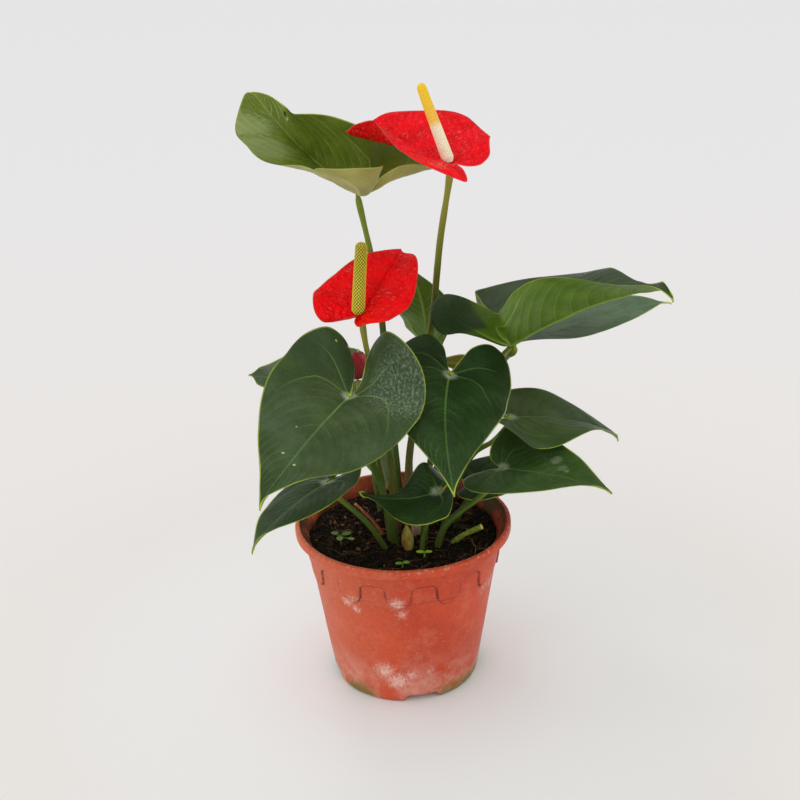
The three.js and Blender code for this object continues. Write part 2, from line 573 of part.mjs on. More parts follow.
function buildPot() {
  const channel = BASE_DISC_RADIUS + 2; // the ring of the base that stands clear of the ground
  const footInside = BODY_BASE_RADIUS - FOOT_WIDTH;
  const innerRadius = (z) => bodyRadius(z) - WALL;
  const lipInside = RIM_RADIUS - LIP_WIDTH;
  const body = turned([
    [0, 0], [BASE_DISC_RADIUS, 0], [channel, CHANNEL_HEIGHT], [footInside - 1.5, CHANNEL_HEIGHT],
    [footInside, 0], [BODY_BASE_RADIUS - 2, 0], [bodyRadius(BASE_ROUNDING), BASE_ROUNDING],
    [bodyRadius(LIP_BOTTOM), LIP_BOTTOM], [RIM_RADIUS - 0.6, LIP_BOTTOM], [RIM_RADIUS, LIP_BOTTOM + 1],
    [RIM_RADIUS, POT_HEIGHT - 1.2], [RIM_RADIUS - 1.2, POT_HEIGHT], [lipInside + 1, POT_HEIGHT],
    [lipInside, POT_HEIGHT - 1],
    [innerRadius(LIP_BOTTOM), LIP_BOTTOM - 1], [innerRadius(FLOOR_TOP + 2), FLOOR_TOP + 2],
    [innerRadius(FLOOR_TOP) - 2, FLOOR_TOP], [channel, FLOOR_TOP], [BASE_DISC_RADIUS, WALL], [0, WALL],
  ]);

  const hidden = 0.4; // how far the band's own rings reach into the wall behind them
  const ring = (bottom, proud) => turned([
    [bodyRadius(bottom) - hidden, bottom], [bodyRadius(bottom) + proud, bottom],
    [bodyRadius(LIP_BOTTOM) + proud, LIP_BOTTOM + 0.5], [bodyRadius(LIP_BOTTOM) - hidden, LIP_BOTTOM + 0.5],
    [bodyRadius(bottom) - hidden, bottom],
  ]);
  let band = ring(BAND_BOTTOM - TAB_DROP, BAND_PROUD);
  for (let k = 0; k < WINDOW_COUNT; k += 1) {
    const degrees = WINDOW_OFFSET + (360 / WINDOW_COUNT) * k;
    band = band.subtract(radialPrism(windowShape(), degrees, BODY_TOP_RADIUS, 20));
  }
  let pot = body.add(ring(BAND_BOTTOM, BAND_PROUD / 3)).add(band);

  const notch = new THREE.Shape();
  notch.moveTo(-NOTCH_WIDTH / 2, -1);
  notch.lineTo(NOTCH_WIDTH / 2, -1);
  notch.lineTo(NOTCH_WIDTH / 2 - 1, FOOT_HEIGHT - 3);
  notch.quadraticCurveTo(NOTCH_WIDTH / 2 - 2, CHANNEL_HEIGHT, NOTCH_WIDTH / 2 - 5, CHANNEL_HEIGHT);
  notch.lineTo(5 - NOTCH_WIDTH / 2, CHANNEL_HEIGHT);
  notch.quadraticCurveTo(2 - NOTCH_WIDTH / 2, CHANNEL_HEIGHT, 1 - NOTCH_WIDTH / 2, FOOT_HEIGHT - 3);
  for (let k = 0; k < NOTCH_COUNT; k += 1) {
    const degrees = NOTCH_OFFSET + (360 / NOTCH_COUNT) * k;
    pot = pot.subtract(radialPrism(notch, degrees, BODY_BASE_RADIUS, 14));
  }
  const holeRing = (channel + footInside) / 2;
  for (let k = 0; k < DRAIN_HOLE_COUNT; k += 1) {
    const angle = (2 * Math.PI * k) / DRAIN_HOLE_COUNT;
    const hole = new THREE.CylinderGeometry(DRAIN_HOLE_RADIUS, DRAIN_HOLE_RADIUS, 20, 8);
    hole.rotateX(Math.PI / 2);
    hole.translate(holeRing * Math.cos(angle), holeRing * Math.sin(angle), 0);
    pot = pot.subtract(toSolid(hole));
  }
  return pot;
}

// ---------------------------------------------------------------- peat
const soilHeight = (x, y) => SOIL_TOP + SOIL_RELIEF * (0.5 * Math.sin(0.19 * x + 1.1) * Math.cos(0.16 * y)
  + 0.35 * Math.sin(0.47 * x - 0.4 * y) + 0.25 * Math.cos(0.83 * y + 0.6 * x));

function buildSoil() {
  const sides = 36;
  const floor = FLOOR_TOP + CLEARANCE;
  const outerRadius = (z) => bodyRadius(z) - WALL - CLEARANCE;
  const ringAt = (radius, heightAt) => {
    const ring = [];
    for (let side = 0; side < sides; side += 1) {
      const angle = (2 * Math.PI * side) / sides;
      const [x, y] = [radius * Math.cos(angle), radius * Math.sin(angle)];
      ring.push(new THREE.Vector3(x, y, heightAt(x, y)));
    }
    return ring;
  };
  const rounding = 2.5;
  const rings = [
    ringAt(outerRadius(floor) - rounding, () => floor),
    ringAt(outerRadius(floor + rounding), () => floor + rounding),
  ];
  const wallRadius = outerRadius(SOIL_TOP - SOIL_RELIEF);
  for (const share of [1, 0.86, 0.7, 0.52, 0.34, 0.16]) {
    rings.push(ringAt(wallRadius * share, soilHeight));
  }
  return toSolid(loft(rings));
}

// ---------------------------------------------------------------- stems
const STEM_SIDES = 7;

// A stem from its foot in the peat to its square end under a blade.
function stemCurve(foot, via, end, endDirection) {
  const under = end.clone().addScaledVector(endDirection, -5);
  return smoothCurve([[...foot, SOIL_TOP - STEM_DEPTH], ...via, under.toArray(), end.toArray()]);
}

// flare widens the foot of the stem, where its sheath clasps the crown.
function stemSolid(curve, radius, flare) {
  const rows = Math.max(7, Math.round(curve.getLength() / 20));
  const thickness = (t) => radius * (1.12 - 0.24 * t + (flare - 1) * Math.exp(-((t / 0.13) ** 2)));
  return toSolid(loft(ringsAlong(curve, rows, STEM_SIDES, thickness)));
}

const soilCutters = [];

// Cuts the plain hole in the peat that a stem stands in: level rings that follow the stem's lean.
function standInSoil(curve, radius, bottom) {
  const lean = curve.getTangentAt(0.01);
  const depth = CLEARANCE + radius * Math.hypot(lean.x, lean.y);
  const widest = radius / lean.z / Math.cos(Math.PI / STEM_SIDES);
  const heights = [bottom - depth, SOIL_TOP - 2, SOIL_TOP + SOIL_RELIEF + 1];
  const rings = heights.map((height) => {
    let centre = curve.getPointAt(0);
    for (let step = 1; centre.z < height && step <= 400; step += 1) centre = curve.getPointAt(step / 400);
    const ring = [];
    for (let side = 0; side < STEM_SIDES; side += 1) {
      const angle = (2 * Math.PI * side) / STEM_SIDES;
      const out = widest + CLEARANCE + HOLE_FLARE * (height - heights[0]);
      const [x, y] = [centre.x + out * Math.cos(angle), centre.y + out * Math.sin(angle)];
      ring.push(new THREE.Vector3(x, y, height));
    }
    return ring;
  });
  soilCutters.push(toSolid(loft(rings)));
}

// The first of several solids, made at growing distances from a blade, that is clear of the blade.
function seatedAt(spec, makeSolid) {
  const room = toSolid(bladeGeometry(spec, BLADE_THICKNESS + 2 * CLEARANCE));
  const nearest = BLADE_THICKNESS / 2 + CLEARANCE;
  for (let distance = nearest; distance < nearest + SEAT_SEARCH; distance += SEAT_STEP) {
    const solid = makeSolid(distance);
    if (solid.intersect(room).volume() === 0) return solid;
  }
  throw new Error(`no clear seat under the blade at ${spec.junction}`);
}

function addBladeWithStem(name, stemName, spec, stemLook) {
  addNode(name, bladeGeometry(spec), spec.look);
  const { normal } = bladeSurface(spec);
  const flare = spec.flare ?? 1.15;
  const curveTo = (distance) => {
    const end = vector(spec.junction).addScaledVector(normal, -distance);
    return stemCurve(spec.base, spec.via, end, normal);
  };
  const stem = seatedAt(spec, (distance) => stemSolid(curveTo(distance), spec.radius, flare));
  addNode(stemName, toGeometry(stem), stemLook);
  standInSoil(curveTo(BLADE_THICKNESS), spec.radius * (0.12 + flare), SOIL_TOP - STEM_DEPTH);
}

// ---------------------------------------------------------------- flowers
// The spadix: small florets in staggered rows, as a relief on a tapered finger.
function spadixGeometry(spec, distance) {
  const { normal } = bladeSurface(spec);
  const { tip, radius, tipRadius } = spec.spadix;
  const start = vector(spec.junction).addScaledVector(normal, distance);
  const end = vector(tip);
  const middle = start.clone().lerp(end, 0.3).addScaledVector(normal, 1.5);
  const rows = 19;
  const relief = 0.06;
  const radiusAt = (t, angle, row, side) => {
    const rounded = Math.sqrt(1 - (Math.max(t - 0.93, 0) / 0.0705) ** 2);
    const floret = (row + side) % 2 === 0 ? relief : -relief;
    const waist = 0.15 + 0.85 * clamp01(t / 0.08) ** 0.6; // drawn in where it meets the spathe
    return (radius + (tipRadius - radius) * t) * rounded * (1 + floret) * waist;
  };
  const curve = new THREE.QuadraticBezierCurve3(start, middle, end);
  return loft(ringsAlong(curve, rows, 10, radiusAt));
}

function addFlower(name, spec) {
  addBladeWithStem(name, name.replace('spathe', 'peduncle'), spec, 'peduncleOlive');
  const spadix = seatedAt(spec, (distance) => toSolid(spadixGeometry(spec, distance)));
  addNode(name.replace('spathe', 'spadix'), toGeometry(spadix), spec.spadix.look);
}

// The young flower: its spathe still rolled round the spadix, whose green point shows above it.
function addFurledBloom() {
  const { base, via, foot, top, radius, stemRadius, greenTipLength } = FURLED_BLOOM;
  const axis = vector(top).sub(vector(foot));
  const direction = axis.clone().normalize();
  const curve = stemCurve(base, via, vector(foot).addScaledVector(direction, -CLEARANCE), direction);
  addNode('young_peduncle', toGeometry(stemSolid(curve, stemRadius, 1.1)), 'peduncleOlive');
  standInSoil(curve, stemRadius * 1.22, SOIL_TOP - STEM_DEPTH);
  const spindle = new THREE.LineCurve3(vector(foot), vector(top));
  const swell = (t, angle) => radius * (0.35 + 0.65 * Math.sin(Math.PI * (0.08 + 0.75 * t)) ** 0.8)
    * (1 + 0.06 * Math.sin(angle + 5 * t));
  addNode('young_spathe', loft(ringsAlong(spindle, 9, 12, swell)), 'redSpathe');
  const tipFoot = vector(top).addScaledVector(direction, CLEARANCE);
  const tipEnd = tipFoot.clone().addScaledVector(direction, greenTipLength);
  const point = (t) => 1.1 * (1 - 0.75 * t);
  const spike = new THREE.LineCurve3(tipFoot, tipEnd);
  addNode('young_spathe_tip', loft(ringsAlong(spike, 3, 8, point)), 'seedlingGreen');
}

// ---------------------------------------------------------------- what stands or lies on the peat
function addSheath(name, { foot, top, radius, look }) {
  const curve = smoothCurve([[...foot, SOIL_TOP - 3], top]);
  const swell = (t) => radius * (0.75 + 0.5 * Math.sin(2.4 * t)) * (1 - 0.85 * t ** 3);
  addNode(name, loft(ringsAlong(curve, 8, 10, swell)), look);
  standInSoil(curve, radius * 1.25, SOIL_TOP - 3);
}

function addStub(name, { foot, lean, end, radius, narrowing, look }) {
  const curve = smoothCurve([[...foot, SOIL_TOP - 3.5], lean, end]);
  const taper = (t) => radius * (1 + (narrowing - 1) * t);
  addNode(name, loft(ringsAlong(curve, 8, STEM_SIDES, taper)), look);
  standInSoil(curve, radius * 1.3, SOIL_TOP - 3.5);
}

function addBarkChip() {
  const { start, end, radius } = BARK_CHIP;
  const lying = ([x, y]) => [x, y, soilHeight(x, y) + 0.4];
  const curve = new THREE.LineCurve3(vector(lying(start)), vector(lying(end)));
  const flatness = (angle) => 0.65 + 0.35 * Math.cos(2 * angle + 1);
  const chip = (t, angle) => radius * (0.6 + 0.4 * Math.sin(Math.PI * t)) * flatness(angle);
  addNode('bark_chip', loft(ringsAlong(curve, 5, 8, chip)), 'bark');
  const around = new THREE.LineCurve3(curve.getPoint(-0.05), curve.getPoint(1.05));
  const room = (t, angle) => chip(t, angle) + 2 * CLEARANCE;
  soilCutters.push(toSolid(loft(ringsAlong(around, 5, 8, room))));
}

function addSeedling(name, { foot, height, leaves }) {
  const ground = soilHeight(...foot);
  const stem = smoothCurve([-3, 0.5 * height, height].map((rise) => [...foot, ground + rise]));
  let seedling = toSolid(loft(ringsAlong(stem, 3, 6, () => SEEDLING_STEM)));
  for (const [direction, reach, size] of leaves) {
    const angle = radians(direction);
    const [x, y] = [foot[0] + reach * Math.cos(angle), foot[1] + reach * Math.sin(angle)];
    const stalk = new THREE.LineCurve3(
      new THREE.Vector3(...foot, ground + height * 0.8), new THREE.Vector3(x, y, ground + height));
    seedling = seedling.add(toSolid(loft(ringsAlong(stalk, 1, 4, () => 0.45))));
    const blade = new THREE.SphereGeometry(1, 6, 3).scale(size, 0.45, size * 0.8);
    blade.rotateX(Math.PI / 2).rotateZ(angle).translate(x, y, ground + height);
    seedling = seedling.add(toSolid(blade));
  }
  addNode(name, toGeometry(seedling), 'seedlingGreen');
  const hole = new THREE.CylinderGeometry(SEEDLING_STEM + CLEARANCE, SEEDLING_STEM + CLEARANCE, 6, 8);
  hole.rotateX(Math.PI / 2).translate(foot[0], foot[1], ground - CLEARANCE);
  soilCutters.push(toSolid(hole));
}

// ---------------------------------------------------------------- assembly
for (const [name, spec] of Object.entries(LEAVES)) {
  const leaf = { ...spec, outline: LEAF_OUTLINE };
  addBladeWithStem(name, name.replace('leaf', 'petiole'), leaf, 'petioleGreen');
}
for (const [name, spec] of Object.entries(SPATHES)) {
  addFlower(name, { ...spec, outline: SPATHE_OUTLINE, look: 'redSpathe' });
}
addFurledBloom();
for (const [name, spec] of Object.entries(SHEATHS)) addSheath(name, spec);
for (const [name, spec] of Object.entries(STUBS)) addStub(name, spec);
addBarkChip();
for (const [name, spec] of Object.entries(SEEDLINGS)) addSeedling(name, spec);

let soil = buildSoil();
for (const cutter of soilCutters) soil = soil.subtract(cutter);
addNode('soil', toGeometry(soil), 'peat');
addNode('pot', toGeometry(buildPot()), 'terracottaPlastic');

export default group;
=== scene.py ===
# A potted anthurium: glossy heart-shaped leaves, red spathes with their spadices, a plastic
# nursery pot and its peat. Shapes are worked out in millimetres, +Z up, front towards -Y.
import math
from types import SimpleNamespace

import bpy
import numpy as np
from mathutils import Matrix, Vector


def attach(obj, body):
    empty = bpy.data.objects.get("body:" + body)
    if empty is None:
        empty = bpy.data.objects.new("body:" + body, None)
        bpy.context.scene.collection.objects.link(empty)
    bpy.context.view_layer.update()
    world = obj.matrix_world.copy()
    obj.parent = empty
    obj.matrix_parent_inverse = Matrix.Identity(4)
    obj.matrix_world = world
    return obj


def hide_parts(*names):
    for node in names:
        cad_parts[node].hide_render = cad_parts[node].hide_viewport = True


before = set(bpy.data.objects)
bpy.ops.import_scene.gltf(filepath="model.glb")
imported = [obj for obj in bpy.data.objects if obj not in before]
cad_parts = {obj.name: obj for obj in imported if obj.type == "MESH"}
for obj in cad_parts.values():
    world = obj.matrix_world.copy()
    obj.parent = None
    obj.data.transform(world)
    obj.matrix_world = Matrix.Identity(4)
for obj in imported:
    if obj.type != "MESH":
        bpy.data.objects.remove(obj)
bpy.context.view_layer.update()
SEED = 7
MM = 0.001

# ---------------------------------------------------------------- places shared with the frame
SOIL_TOP = 99.5
SOIL_RELIEF = 1.4
SOIL_GAP = 0.35
SOIL_FOOT_RADIUS, SOIL_FOOT = 20, 6.4
STEM_DEPTH = 6
RIM_RADIUS = 70
LIP_BOTTOM = 103.5
LIP_PROFILE = [(1, 0), (0.5, 0.2), (0.1, 0.7), (0, 1.6), (0, 3.8), (0.2, 5.1), (0.7, 5.75), (1.4, 6),
               (2.5, 6), (3.1, 5.65), (3.4, 4.8), (4, 3)]  # inwards from the rim, up from its lower edge
BODY_TOP_RADIUS = 60.2
BODY_BASE_RADIUS = 47.4
MIDDLE_RADIUS = 22  # the flat middle of the base, which stands on the ground
BASE_RISE = 4  # how far the rest of the base is raised
WALL = 2
BAND_BOTTOM = 81.5
BAND_PROUD = 1.5
TAB_DROP = 3
WINDOW_COUNT = 12
WINDOW_TOP = 94.4
WINDOW_HALF_ANGLE = 8.5
WINDOW_OFFSET = -18.8
NOTCH_COUNT = 4
NOTCH_WIDTH = 25
NOTCH_OFFSET = 12
NOTCH_HEIGHT = 4
STEP_WIDTH = 0.4  # how softly the steps of the pot's band are rounded

# Pale scuffs on the pot: places on its wall, how far each spreads, and how strong it is.
SCUFFS = [(-37, -47, 77, 8, 1.0), (-32, -50, 82, 8, 0.9), (-31, -50, 73, 6, 0.9), (-5, -60, 82, 9, 1.1),
          (-2, -59, 73, 7, 0.9), (-14, -50, 26, 12, 1.0), (-6, -50, 18, 13, 1.1), (3, -51, 23, 8, 0.8),
          (15, -49, 26, 7, 0.6), (51, -31, 76, 12, 0.7), (55, -21, 74, 9, 0.8), (7, -53, 38, 6, 0.5)]

# How finely each shape is divided, and how many loose bits lie on the peat.
MIDRIB_STEPS = 60
DENSE_RIB = 1.25  # rows crowd towards the midrib by this power
POT_SIDES = 840
SOIL_SIDES = 300
SPADIX_ROWS, SPADIX_SIDES = 260, 96
BLOOM_SIDES = 72
STEM_SPACING = 1.5
CRUMB_COUNT, CRUMB_REACH = 2300, 58.5
FIBRE_COUNT, FIBRE_REACH = 150, 58

# A stem ends a little under its blade and a little ahead of its lobes.
STEM_BELOW, STEM_AHEAD = 1.1, 1.6

CAMERA_FOCAL = 1400  # in pixels of the 800-pixel frame
CAMERA_PLACE = (0.0002, -0.8058, 0.5365)
CAMERA_DOWN = 23.1
CAMERA_ROLL = -1.55
FLOOR_HALF = 12

# The form of every blade, in shares of its midrib or of its outline.
VEIN_START = 0.1  # where the lines from the midrib begin
VEIN_CROWDING = 1.15  # they crowd a little towards the stalk
HOOK_START = 0.86  # where the tip begins to bend down
WAVES = 2.3  # waves along the margin of each half
OTHER_WAVE = 150  # degrees by which the right half's wave is ahead of the left one's
LOBE_CURL_END = 0.35
FOLD_PLACES = (0.05, 0.5, 1)  # along the midrib, after the ends of the lobes
BASAL_VEINS = [(0.17, 0.06), (0.3, 0.13), (0.43, 0.2)]  # start along the outline, forward drift
LATERAL_FIRST, LATERAL_PITCH, LATERAL_DRIFT = 0.5, 0.032, 0.1
LEAF_OUTLINE = [(0, 0), (-0.36, 0.05), (-0.78, 0.15), (-1, 0.42), (-0.86, 0.76), (-0.42, 0.97),
                (0.08, 1), (0.3, 0.9), (0.52, 0.67), (0.72, 0.39), (0.87, 0.165), (0.945, 0.055), (1, 0)]
SPATHE_OUTLINE = [(0, 0), (-0.3, 0.1), (-0.72, 0.26), (-1, 0.5), (-0.85, 0.8), (-0.4, 0.98),
                  (0.1, 1), (0.34, 0.92), (0.57, 0.74), (0.76, 0.5), (0.9, 0.25), (0.965, 0.08), (1, 0)]

LEAVES = {
    "leaf_front_left": dict(
        junction=(-29.5, -54.4, 218.8), tip=(-75.8, -148.2, 194.6),
        roll=3, width=0.82, lobe=0.36, spread=0.06,
        foldLeft=(75, -2, -22, 39), foldRight=(53, 28, 8, 31), curlLeft=-27, curlRight=11,
        arch=26, hook=30, sweep=-12, lift=27, wave=0.029, phase=-8,
        radius=2.2, base=(-5, -11), flare=1.9, via=[(-12, -15, 136), (-20, -21, 165)]),
    "leaf_front_centre": dict(
        junction=(30.7, -20.4, 217), tip=(28.7, -111.2, 180.7), roll=-7, width=0.78, lobe=0.43, spread=0.11,
        foldLeft=(-5, -6, -4, 19), foldRight=(-12, 10, 6, 18), curlLeft=-20, curlRight=-17,
        arch=24, hook=20, sweep=21, lift=16, wave=0.01, phase=10,
        radius=2.1, base=(13, -13), via=[(16, -9, 140), (24, -10, 180)]),
    "leaf_small_cupped": dict(
        junction=(21.7, -38.5, 147.3), tip=(-26.6, -39.5, 149.3), roll=3, width=1.02, lobe=0.3, spread=0.03,
        foldLeft=(38, -4, -26, 5), foldRight=(-12, 30, -5, 5), curlLeft=-12, curlRight=-13,
        arch=-34, hook=-7, sweep=-16, lift=9, wave=0.05, phase=-149,
        radius=1.5, base=(11, -28), via=[(13, -28, 112), (19, -32, 132)]),
    "leaf_low_left": dict(
        junction=(-45.3, -45.2, 159.4), tip=(-84.9, -120.3, 153.2),
        roll=16, width=0.56, lobe=0.27, spread=-0.04,
        foldLeft=(36, -4, -3, 2), foldRight=(3, 15, -2, 5), curlLeft=-4, curlRight=-10,
        arch=13, hook=41, sweep=7, lift=-1, wave=0.031, phase=103,
        radius=1.8, base=(-9, -20), via=[(-22, -28, 121), (-38, -35, 142)]),
    "leaf_left_behind": dict(
        junction=(-34, 30, 195), tip=(-91.3, -14.7, 218.8), roll=-20, width=0.87, lobe=0.38, spread=0.04,
        foldLeft=(15, 12, 6, -4), foldRight=(8, -4, 13, 11), curlLeft=-6, curlRight=-11,
        arch=-5, hook=-16, sweep=-1, lift=22, wave=0.05, phase=-67,
        radius=1.9, base=(-6, 13), via=[(-8, 20, 140), (-17, 31, 172)]),
    "leaf_right_middle": dict(
        junction=(69.7, 1.9, 178.3), tip=(144.3, 34.2, 144.5), roll=7, width=0.9, lobe=0.26, spread=0.05,
        foldLeft=(41, -4, 11, 19), foldRight=(14, 3, 20, 13), curlLeft=-4, curlRight=-9,
        arch=32, hook=30, sweep=5, lift=28, wave=0.012, phase=-6,
        radius=1.9, base=(25, 1), via=[(32, 9, 121), (47, 19, 145), (59, 8, 159)]),
    "leaf_right_low": dict(
        junction=(62.3, -23.7, 154.8), tip=(122.2, -78.2, 163.7), roll=8, width=0.79, lobe=0.17, spread=0.08,
        foldLeft=(39, 13, 6, 3), foldRight=(10, 5, 9, 21), curlLeft=-2, curlRight=-8,
        arch=8, hook=24, sweep=-9, lift=11, wave=0.017, phase=-47,
        radius=2, base=(20, -21), via=[(27, -22, 115), (50, -26, 138)]),
    "leaf_right_back": dict(
        junction=(55, 20, 126), tip=(100, 20, 130), roll=16, width=0.85, lobe=0.42, spread=0.05,
        foldLeft=(12, 8, 6, 10), foldRight=(12, 6, 4, 8), curlLeft=-8, curlRight=-8,
        arch=28, hook=18, sweep=4, lift=5, wave=0.02, phase=40,
        radius=1.6, base=(33, 12), via=[(42, 16, 112)]),
    "leaf_right_folded": dict(
        junction=(69.9, 5.1, 226), tip=(158.2, -49.8, 270),
        roll=-7, width=1.11, lobe=0.21, spread=0.36,
        foldLeft=(41, 43, 34, -19), foldRight=(83, 20, 34, 26),
        curlLeft=-38, curlRight=7, lobeCurlLeft=8, lobeCurlRight=13,
        arch=24, hook=95, sweep=-62, lift=-18, wave=0.017, phase=-110,
        bowLeft=[(9, 24), (24, 24), (18, 3), (5, 1), (-13, -5), (-6, 7)],
        bowRight=[(13, 19), (12, -8), (11, -11), (4, -7), (3, -2), (-5, 0)],
        radius=2.2, base=(20, 8), via=[(24, 24, 130), (45, 43, 172), (62, 38, 194), (68.5, 20, 212)]),
    "leaf_right_under": dict(
        junction=(75.9, 67.5, 206.7), tip=(179.7, 59.6, 231.1), roll=-1, width=0.89, lobe=0.16, spread=0.06,
        foldLeft=(21, 12, -3, 21), foldRight=(28, 13, 1, 6), curlLeft=-7, curlRight=-1,
        arch=2, hook=24, sweep=-1, lift=30, wave=0.022, phase=-157,
        radius=2.1, base=(15, 16), via=[(24, 34, 130), (50, 50, 175), (67, 50, 200)]),
    "leaf_top": dict(
        junction=(-21.9, 48.9, 313.1), tip=(-93.5, 120.5, 363.9),
        roll=-14, width=0.80, lobe=0.33, spread=0.09,
        foldLeft=(34, 41, 27, -38), foldRight=(-10, 63, 70, 10),
        curlLeft=14, curlRight=18,
        arch=-32, hook=59, sweep=-3, lift=56, wave=-0.02, phase=-59,
        bowLeft=[(4, 18), (14, 8), (0, -1), (-5, -4), (-14, 1), (-5, 5)],
        bowRight=[(1, 13), (-2, 4), (1, -6), (-12, -1), (-8, -4), (2, 1)],
        radius=2.1, base=(0, 10),
        via=[(-3, 10, 143), (-8, 10, 216), (-11, 24, 251), (-16, 42, 277)]),
    "leaf_upright_back": dict(
        junction=(21.1, 58.2, 211.8), tip=(7, 41.9, 269.5), roll=-10, width=0.81, lobe=0.25, spread=-0.05,
        foldLeft=(6, -15, 25, 21), foldRight=(16, -8, -36, 10), curlLeft=-9, curlRight=6,
        arch=20, hook=26, sweep=7, lift=8, wave=0.032, phase=-82,
        radius=1.9, base=(6, 22), via=[(6, 34, 140), (11, 36, 172), (18, 46, 196)]),
    "leaf_young_back": dict(
        junction=(43, 26, 205.5), tip=(22, 28, 207), roll=80, width=0.6, lobe=0.4, spread=0.05,
        foldLeft=(10, 8, 6, 8), foldRight=(12, 8, 6, 8), curlLeft=-6, curlRight=-6,
        arch=20, hook=12, sweep=4, lift=6, wave=0.02, phase=60,
        radius=1.4, base=(13, 22), via=[(19, 36, 132), (32, 42, 175)]),
    "leaf_low_back": dict(
        junction=(-17.2, 33.1, 146.8), tip=(-10.1, 22.9, 119.5), roll=0, width=0.9, lobe=0.4, spread=0.05,
        foldLeft=(10, 8, 8, 10), foldRight=(12, 8, 6, 8), curlLeft=-8, curlRight=-8,
        arch=20, hook=14, sweep=3, lift=4, wave=0.02, phase=20,
        radius=1.5, base=(-14, 25), via=[(-19, 40, 125), (-20, 43, 142)]),
}
SPATHES = {
    "upper_spathe": dict(
        junction=(32.5, -12, 345), tip=(-28.1, 45, 352.9),
        roll=-32, width=0.77, lobe=0.21, spread=0,
        foldLeft=(60, 50, 51, 43), foldRight=(-15, -8, 5, 27),
        curlLeft=17, curlRight=0, lobeCurlLeft=14, lobeCurlRight=0,
        arch=-20, hook=-41, sweep=29, lift=-37, wave=0, phase=0,
        bowLeft=[(4.5, -0.2), (3.8, -5.7), (0.1, -9.3), (-3.5, 3.9), (2.6, 9), (0.2, 5.6)],
        bowRight=[(-3.2, -0.3), (-5.2, 1), (-6.3, -1.3), (3.2, 2.6), (1.6, 2.2), (8.7, 3.5)],
        radius=2.2, base=(4, 3), via=[(5, 9, 146), (14, 26, 193), (21, 28, 228), (27, 9, 293)],
        spadix=dict(tip=(16.5, 1.1, 388.8), radius=3.5, tip_radius=2.7, turns=14, florets=34)),
    "lower_spathe": dict(
        junction=(-23.4, -11.1, 254), tip=(3.4, 35, 280.4),
        roll=9, width=1.01, lobe=0.27, spread=-0.02,
        foldLeft=(34, 16, 17, 19), foldRight=(36, 29, 22, 14),
        curlLeft=-10, curlRight=-21, lobeCurlLeft=20, lobeCurlRight=24,
        arch=21, hook=7, sweep=17, lift=-4, wave=0.01, phase=-32,
        bowLeft=[(-1.6, 0.9), (-0.6, -0.5), (0.6, -0.1), (0.7, -1.5), (-0.9, 0.1), (-0.3, -0.1)],
        bowRight=[(-0.5, 4.1), (2.7, 4.5), (1.1, -2.8), (-0.2, -2.8), (0.5, 5), (-1.3, -0.8)],
        radius=2, base=(-3, 1), via=[(-5, -2, 132), (-13, -7, 196), (-20, -10, 236)],
        spadix=dict(tip=(-20, -7, 298), radius=3.9, tip_radius=3.5, turns=12, florets=21)),
}
BLOOM = dict(base=(-9, 5), via=[(-14, -6, 150), (-22, -19, 195)], foot=(-25.2, -18.3, 216),
             top=(-24.2, -17.3, 232), radius=4.8, stem_radius=1.5, green_tip=2)
SHEATHS = [
    ("sheath_brown", (3, -21), (2, -20, 115), 3.4, "brownSheath",
     ((0.09, 0.03, 0.008), (0.26, 0.15, 0.025), (0.42, 0.36, 0.08))),
    ("sheath_pale", (8, -4), (9, -4, 116), 2.7, "paleSheath",
     ((0.22, 0.09, 0.045), (0.5, 0.3, 0.18), (0.7, 0.5, 0.34))),
]
STUBS = [
    ("stub_dry", (-11, -4), (-20, 1, 108), (-31, 6, 118), 1.5, 0.5, "dryStub",
     ((0.13, 0.02, 0.01), (0.32, 0.07, 0.033), (0.8, 0.34, 0.1))),
    ("stub_cut", (28, -16), (37, -13, 102), (51, -8, 106), 1.7, 1.0, "seedlingGreen",
     ((0.06, 0.1, 0.01), (0.17, 0.25, 0.025), (0.8, 0.85, 0.16))),
]
BARK = dict(start=(33, 4), end=(44, 1), radius=1.7,
            tints=((0.02, 0.014, 0.008), (0.07, 0.05, 0.03), (0.16, 0.12, 0.08)))
SEEDLINGS = [
    ("seedling_left", (-40, -15), 7, [(20, 4, 3.2), (150, 4.5, 2.6), (265, 5, 2.8), (320, 9, 2.2)],
     ((0.1, 0.14, 0.03), (0.1, 0.2, 0.03), (0.2, 0.34, 0.06))),
    ("seedling_right", (13, -34), 3.5, [(0, 2.6, 2.3), (175, 2.8, 2.4)],
     ((0.12, 0.2, 0.02), (0.3, 0.52, 0.04), (0.42, 0.66, 0.07))),
    ("seedling_front", (-1, -46), 3, [(10, 2.4, 2.2), (190, 2.4, 2.2)],
     ((0.08, 0.15, 0.015), (0.18, 0.38, 0.03), (0.26, 0.5, 0.05))),
]


# ---------------------------------------------------------------- small numeric helpers
def unit(vector):
    vector = np.asarray(vector, float)
    return vector / np.linalg.norm(vector, axis=-1, keepdims=True)


def smoothstep(value):
    value = np.clip(value, 0, 1)
    return value * value * (3 - 2 * value)


def angles_round(sides):
    return np.linspace(0, 2 * math.pi, sides, endpoint=False)


def curve_through(control, t):
    """A smooth plane curve through evenly timed points, read at t from 0 to 1."""
    control = np.asarray(control, float)
    last = len(control) - 1
    place = np.asarray(t) * last
    k = np.minimum(np.floor(place).astype(int), last)
    share = (place - k)[..., None]
    before, here = control[np.maximum(k - 1, 0)], control[k]
    after, beyond = control[np.minimum(k + 1, last)], control[np.minimum(k + 2, last)]
    start, end = (after - before) / 2, (beyond - here) / 2
    return ((2 * here - 2 * after + start + end) * share ** 3
            + (3 * after - 3 * here - 2 * start - end) * share ** 2 + start * share + here)


def lengths_along(points):
    return np.concatenate([[0], np.cumsum(np.linalg.norm(np.diff(points, axis=0), axis=1))])


